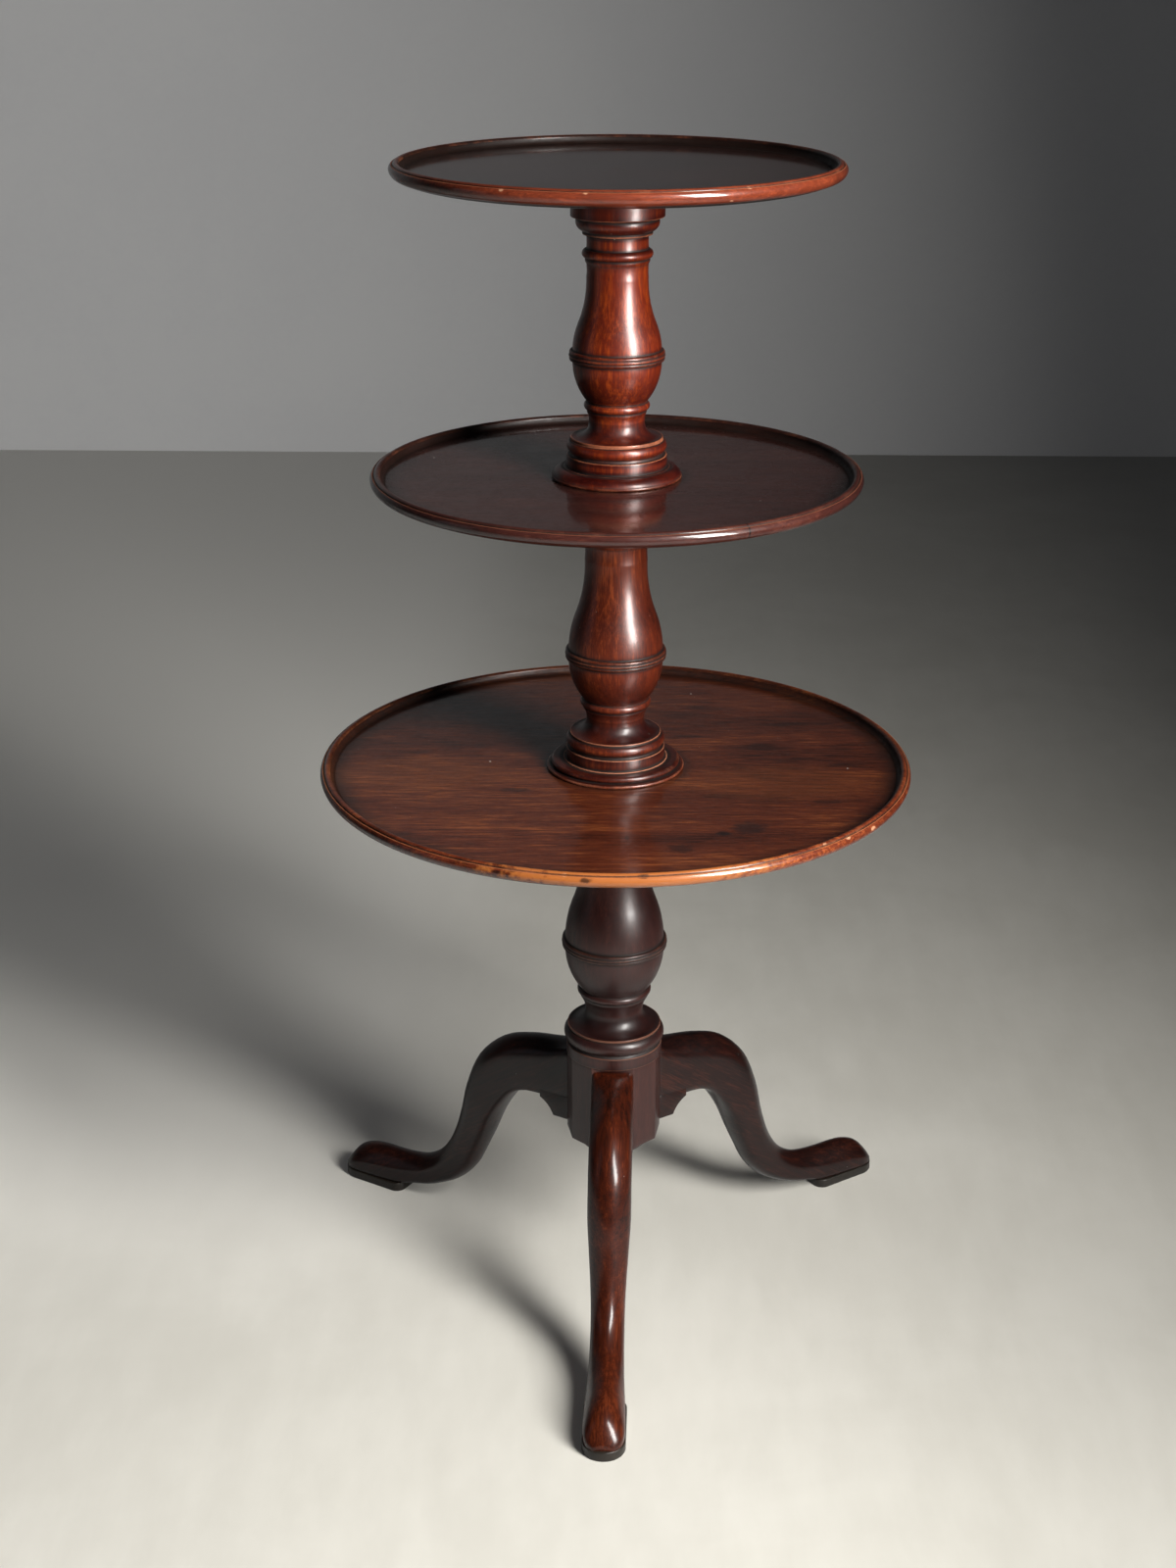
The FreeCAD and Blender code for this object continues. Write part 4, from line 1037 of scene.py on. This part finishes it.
leg_object = as_object("leg_scratch", leg_skin())
bracket_object = as_object("bracket_scratch", bracket_block())
joining = leg_object.modifiers.new("join", "BOOLEAN")
joining.operation = "UNION"
joining.solver = "EXACT"
joining.object = bracket_object
joined = bpy.data.meshes.new_from_object(leg_object.evaluated_get(bpy.context.evaluated_depsgraph_get()))
for scratch in (leg_object, bracket_object):
    bpy.data.objects.remove(scratch)
print("leg skin joined:", len(joined.polygons), "faces")

# %% [markdown]
# The three legs are the same shape. Each is a copy, turned to its bearing, and gets its own wood so
# that the grain follows the board it was sawn from: out along the leg and down at about 35 degrees.

# %% Place the legs
LEG_SLOPE = math.radians(35)


def swing(mesh, bearing):
    """Turns a skin about the column axis to a bearing in degrees."""
    turn = Matrix.Rotation(math.radians(bearing), 3, "Z")
    bmesh.ops.rotate(mesh, verts=mesh.verts, cent=(0, 0, 0), matrix=turn)


for side, bearing in LEG_BEARINGS.items():
    leg = new_mesh()
    leg.from_mesh(joined)
    soften(leg, 0.0008, sharper_than=50)
    mark_edges(leg)
    swing(leg, bearing)
    tones = red_tones if side == "front" else dark_tones
    wood = mahogany(side + "_leg_mahogany", grain_turn=(0.0, LEG_SLOPE, math.radians(bearing)), wear=0.6,
                    **tones, **leg_polish)
    stand_in(side + "_leg", leg, "stand", wood)

# %% [markdown]
# ## Foot pads
# A thin black block lifts each foot off the floor, round at the toe and blunt at the heel. Its
# outline is drawn once, thickened and eased.

# %% Foot pads
def ebonised(name):
    """Black-stained wood: nearly no colour, a soft sheen, and pale dust along its edges."""
    made, _, place = start_material(name)
    wood = use(figure, Along=place, Deep=(0.006, 0.006, 0.005), Body=(0.018, 0.013, 0.009),
               Bright=(0.046, 0.030, 0.019), Contrast=1.5)
    aged_finish(place, wood, wood["Color"], (0.10, 0.09, 0.07), (0.02, 0.02, 0.018), wear=0.7, dull=0.34,
                duller=0.52, IOR=1.5)
    return made


pad_black = ebonised("pad_ebonised")
PAD = dict(height=10.0, half_width=20.75, toe=345.6, heel=263.4, corner=11.0)


def pad_skin(bearing):
    half, corner = PAD["half_width"], PAD["corner"]
    toe_centre = PAD["toe"] - half
    corner_rise = corner * (1 - math.sqrt(0.5))
    outline = traced([
        (toe_centre, -half), (toe_centre, half, half * 0.999), (PAD["heel"] + corner, half),
        (PAD["heel"], half - corner, corner_rise), (PAD["heel"], -half + corner),
        (PAD["heel"] + corner, -half, corner_rise)], True)
    mesh = new_mesh()
    face = mesh.faces.new([mesh.verts.new((point.x * MM, point.y * MM, 0.0)) for point in outline])
    pulled(mesh, [face], (0, 0, PAD["height"] * MM))
    bmesh.ops.recalc_face_normals(mesh, faces=mesh.faces)
    soften(mesh, 0.0012, sharper_than=60, segments=4)
    mark_edges(mesh)
    swing(mesh, bearing)
    return mesh


for side, bearing in LEG_BEARINGS.items():
    stand_in(side + "_foot_pad", pad_skin(bearing), "stand", pad_black)

# %% [markdown]
# ## Collars under the trays
# The measured collars already have the right shape, with their countersunk holes, so they stay and
# only get a waxed finish.

# %% Collars
collar_wood = mahogany("collar_mahogany_waxed", (0.030, 0.010, 0.006), (0.090, 0.030, 0.017),
                       (0.170, 0.062, 0.034), (0.25, 0.11, 0.06), gloss=0.35, dull=0.45, duller=0.6)
for word in ("lower", "middle", "top"):
    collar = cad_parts[word + "_tray_collar"]
    collar.data.materials.clear()
    collar.data.materials.append(collar_wood)
    print(collar.name, "finish:", collar_wood.name)

# %% [markdown]
# ## Screws
# Each collar is held by four slotted screws. They are made again, because a real screw shows its
# slot: an inset in the head is cut by two planes, and the strip between them is pushed in.

# %% Screws
def aged_brass(name):
    made, tree, place = start_material(name)
    tarnish = noise(place, 260.0, 4.0, 0.65)
    colour = blend(ramp(tarnish, 0.35, 0.65), (0.42, 0.28, 0.10), (0.12, 0.075, 0.035))
    finish_material(tree, colour, ramp(tarnish, 0.3, 0.7, 0.28, 0.55), tarnish, depth=0.0001, Metallic=1.0)
    return made


brass = aged_brass("screw_brass_aged")
SCREW = dict(circle=46.0, shank=2.2, head=4.4, head_height=2.6, length=20.0, slot=0.5, slot_depth=1.0)


def screws_skin(foot):
    """Four slotted countersunk screws, heads down, each turned a little differently."""
    group = new_mesh()
    for index in range(4):
        start = set(group.verts)
        bmesh.ops.create_cone(group, cap_ends=True, segments=32, radius1=SCREW["head"] * MM,
                              radius2=SCREW["shank"] * MM, depth=SCREW["head_height"] * MM,
                              matrix=Matrix.Translation((0, 0, SCREW["head_height"] * MM / 2)))
        verts = [v for v in group.verts if v not in start]
        faces = {face for vert in verts for face in vert.link_faces}
        crown = max(faces, key=lambda face: face.calc_center_median().z)
        pulled(group, [crown], (0, 0, (SCREW["length"] - SCREW["head_height"]) * MM))
        bmesh.ops.delete(group, geom=[crown], context="FACES_ONLY")
        head = min((face for face in group.faces if face.verts[0] not in start),
                   key=lambda face: face.calc_center_median().z)
        bmesh.ops.inset_region(group, faces=[head], thickness=0.0005)
        for shift in (-SCREW["slot"], SCREW["slot"]):
            pieces = [head] + list(head.edges) + list(head.verts)
            if shift > 0:
                lowest = [f for f in group.faces if f.verts[0] not in start and f.normal.z < -0.9
                          and (f.calc_center_median() - Vector((0, 0.003, 0))).length < 0.004]
                pieces = lowest + [e for f in lowest for e in f.edges] + [v for f in lowest for v in f.verts]
            bmesh.ops.bisect_plane(group, geom=list(dict.fromkeys(pieces)), dist=1e-7,
                                   plane_co=(0, shift * MM, 0), plane_no=(0, 1, 0))
        strip = [f for f in group.faces if f.normal.z < -0.9 and not any(v in start for v in f.verts)
                 and abs(f.calc_center_median().y) < 0.0002 and f.calc_area() > 1e-7]
        pulled(group, strip, (0, 0, SCREW["slot_depth"] * MM))
        bmesh.ops.delete(group, geom=strip, context="FACES_ONLY")
        fresh = [v for v in group.verts if v not in start]
        turn = Matrix.Rotation(math.radians(17 + 71 * index), 4, "Z")
        place = around(45 + 90 * index, SCREW["circle"]) * MM + Vector((0, 0, (foot + 0.15) * MM))
        bmesh.ops.transform(group, matrix=Matrix.Translation(place) @ turn, verts=fresh)
    bmesh.ops.recalc_face_normals(group, faces=group.faces)
    return group


for word, foot in (("lower", 533.5), ("middle", 820.5), ("top", 1098.0)):
    stand_in(word + "_collar_screws", screws_skin(foot), word + "_tier", brass)

# %% [markdown]
# ## Floor and wall
# The table stands on a pale painted floor in front of a grey wall. The camera sees paint tones of
# its own: a painted light far on the left, where the trays' shadow falls, a little painted shade near
# on the right, and a faint light that falls off from left to right. The polish mirrors a third tone.

# %% Floor and wall
# Painted shade laid on the floor near on the right.
NEAR_RIGHT_PAINTED_SHADE = (0.88, 0.88, 0.88)


def ray_kinds(tree):
    """One for what the camera sees and one for what the polish mirrors, and nought for the rest."""
    return [out(tree, "ShaderNodeLightPath", ray) for ray in ("Is Camera Ray", "Is Glossy Ray")]


def painted(name, low, high, scale, seen, mirrored, lift, painted_light_tone=None):
    """Matt paint with faint clouds in it. The camera and the polish see tones of their own.

    Low and high are the tones that light the table, seen the pair that the camera sees. The painted
    light tone is laid on the far left of a floor, where shadow falls, and its near right gets a
    little painted shade. Lift is the faint light, from left to right, that the camera alone sees.
    """
    made, tree, place = start_material(name)
    clouds = noise(place, scale, 5.0, 0.6, 0.4)
    scuffs = noise(stretch(place, (1.0, 0.25, 1.0)), 30.0, 4.0, 0.7)
    both = ramp(clouds * 0.7 + scuffs * 0.3, 0.3, 0.7)
    x, y = (out(tree, "ShaderNodeSeparateXYZ", axis, {"Vector": place}) for axis in "XY")
    to_camera, to_gloss = ray_kinds(tree)
    plain = blend(both, *seen)
    if painted_light_tone:
        # Painted light on the far left, where the trays' shadow falls, and painted shade near on the right.
        plain = blend(ramp(x, -0.05, -0.40) * ramp(y, -0.25, 0.50), plain, painted_light_tone)
        plain = blend(ramp(x, 0.05, 0.50) * ramp(y, 0.28, -0.12), plain, NEAR_RIGHT_PAINTED_SHADE, "MULTIPLY")
    colour = blend(to_camera, blend(to_gloss, blend(both, low, high), mirrored), plain)
    shader = finish_material(tree, colour, ramp(scuffs, 0.3, 0.7, 0.55, 0.75), scuffs, depth=0.0001)
    fill(shader.inputs["Emission Color"], ramp(x, -1.2, 0.8, *lift) * to_camera)
    fill(shader.inputs["Emission Strength"], 1.0)
    return made


def stage_plane(name, size_x, size_y, matrix, material):
    mesh = bmesh.new()
    bmesh.ops.create_grid(mesh, x_segments=1, y_segments=1, size=0.5)
    bmesh.ops.scale(mesh, vec=(size_x, size_y, 1), verts=mesh.verts)
    bmesh.ops.transform(mesh, matrix=matrix, verts=mesh.verts)
    plane = as_object(name, mesh)
    plane.data.materials.append(material)
    print(name, size_x, "by", size_y, "m, paint:", material.name)


floor_paint = painted("floor_paint", (0.11, 0.11, 0.11), (0.14, 0.14, 0.14), 3.0,
                      seen=((0.66, 0.64, 0.58), (0.74, 0.72, 0.66)), mirrored=(0.62, 0.62, 0.60),
                      lift=(0.034, 0.008), painted_light_tone=(1.0, 0.98, 0.92))
wall_paint = painted("wall_paint", (0.38, 0.38, 0.38), (0.42, 0.42, 0.42), 2.0,
                     seen=((0.90, 0.90, 0.91), (0.96, 0.96, 0.96)), mirrored=(0.60, 0.60, 0.62),
                     lift=(0.060, 0.024))
stage_plane("floor", 24.0, 24.0, Matrix.Identity(4), floor_paint)
upright_wall = Matrix.Rotation(math.radians(-0.7), 4, "Z") @ Matrix.Rotation(math.radians(90), 4, "X")
stage_plane("wall", 24.0, 4.0, Matrix.Translation((0, 3.53, 1.9)) @ upright_wall, wall_paint)

# %% [markdown]
# ## Lamps
# One soft lamp stands on the right, between the camera and the table and a little higher than the
# top tray. It shines past the table, and throws the shadows back and to the left. A weak strip on
# the left, level with the top tray, draws the thin light down the dark side of each vase. The world
# adds very little, and only the camera sees more of it.

# %% Lamps
def lamp(name, place, aim, size, power, colour=(1.0, 1.0, 1.0), spread=math.pi):
    light = bpy.data.lights.new(name, "AREA")
    light.shape = "RECTANGLE"
    light.size, light.size_y = size
    light.energy = power
    light.color = colour
    light.spread = spread
    made = bpy.data.objects.new(name, light)
    bpy.context.scene.collection.objects.link(made)
    made.location = place
    made.rotation_euler = (Vector(aim) - Vector(place)).to_track_quat("-Z", "Y").to_euler()
    return made


lamp("key_lamp", (1.12, -1.29, 1.50), (-4.2, 1.15, 0.2), (0.55, 1.55), 65.5, (1.0, 0.985, 0.95),
     math.radians(127))
lamp("left_strip", (-2.2, -0.60, 1.15), (0.0, 0.0, 0.9), (0.8, 1.6), 0.7, (0.9, 0.9, 1.0))
WORLD_STRENGTH, MIRRORED_STRENGTH, SEEN_STRENGTH = 0.022, 0.018, 0.10
world = bpy.data.worlds.new("studio")
bpy.context.scene.world = world
world.use_nodes = True
sky = world.node_tree
sky.nodes.clear()
to_camera, to_gloss = ray_kinds(sky)
strength = ramp(to_gloss, 0.0, 1.0, WORLD_STRENGTH, MIRRORED_STRENGTH) + to_camera * SEEN_STRENGTH
glow = out(sky, "ShaderNodeBackground", "Background", {"Color": (0.90, 0.93, 1.0), "Strength": strength})
put(sky, "ShaderNodeOutputWorld", {"Surface": glow})

# %% [markdown]
# ## Finish
# The scene is updated once more, and the picture is shown through the Standard view transform. The
# finished pieces have to fill the same box as the measured model.

# %% Finish
bpy.context.view_layer.update()
bpy.context.scene.view_settings.view_transform = "Standard"
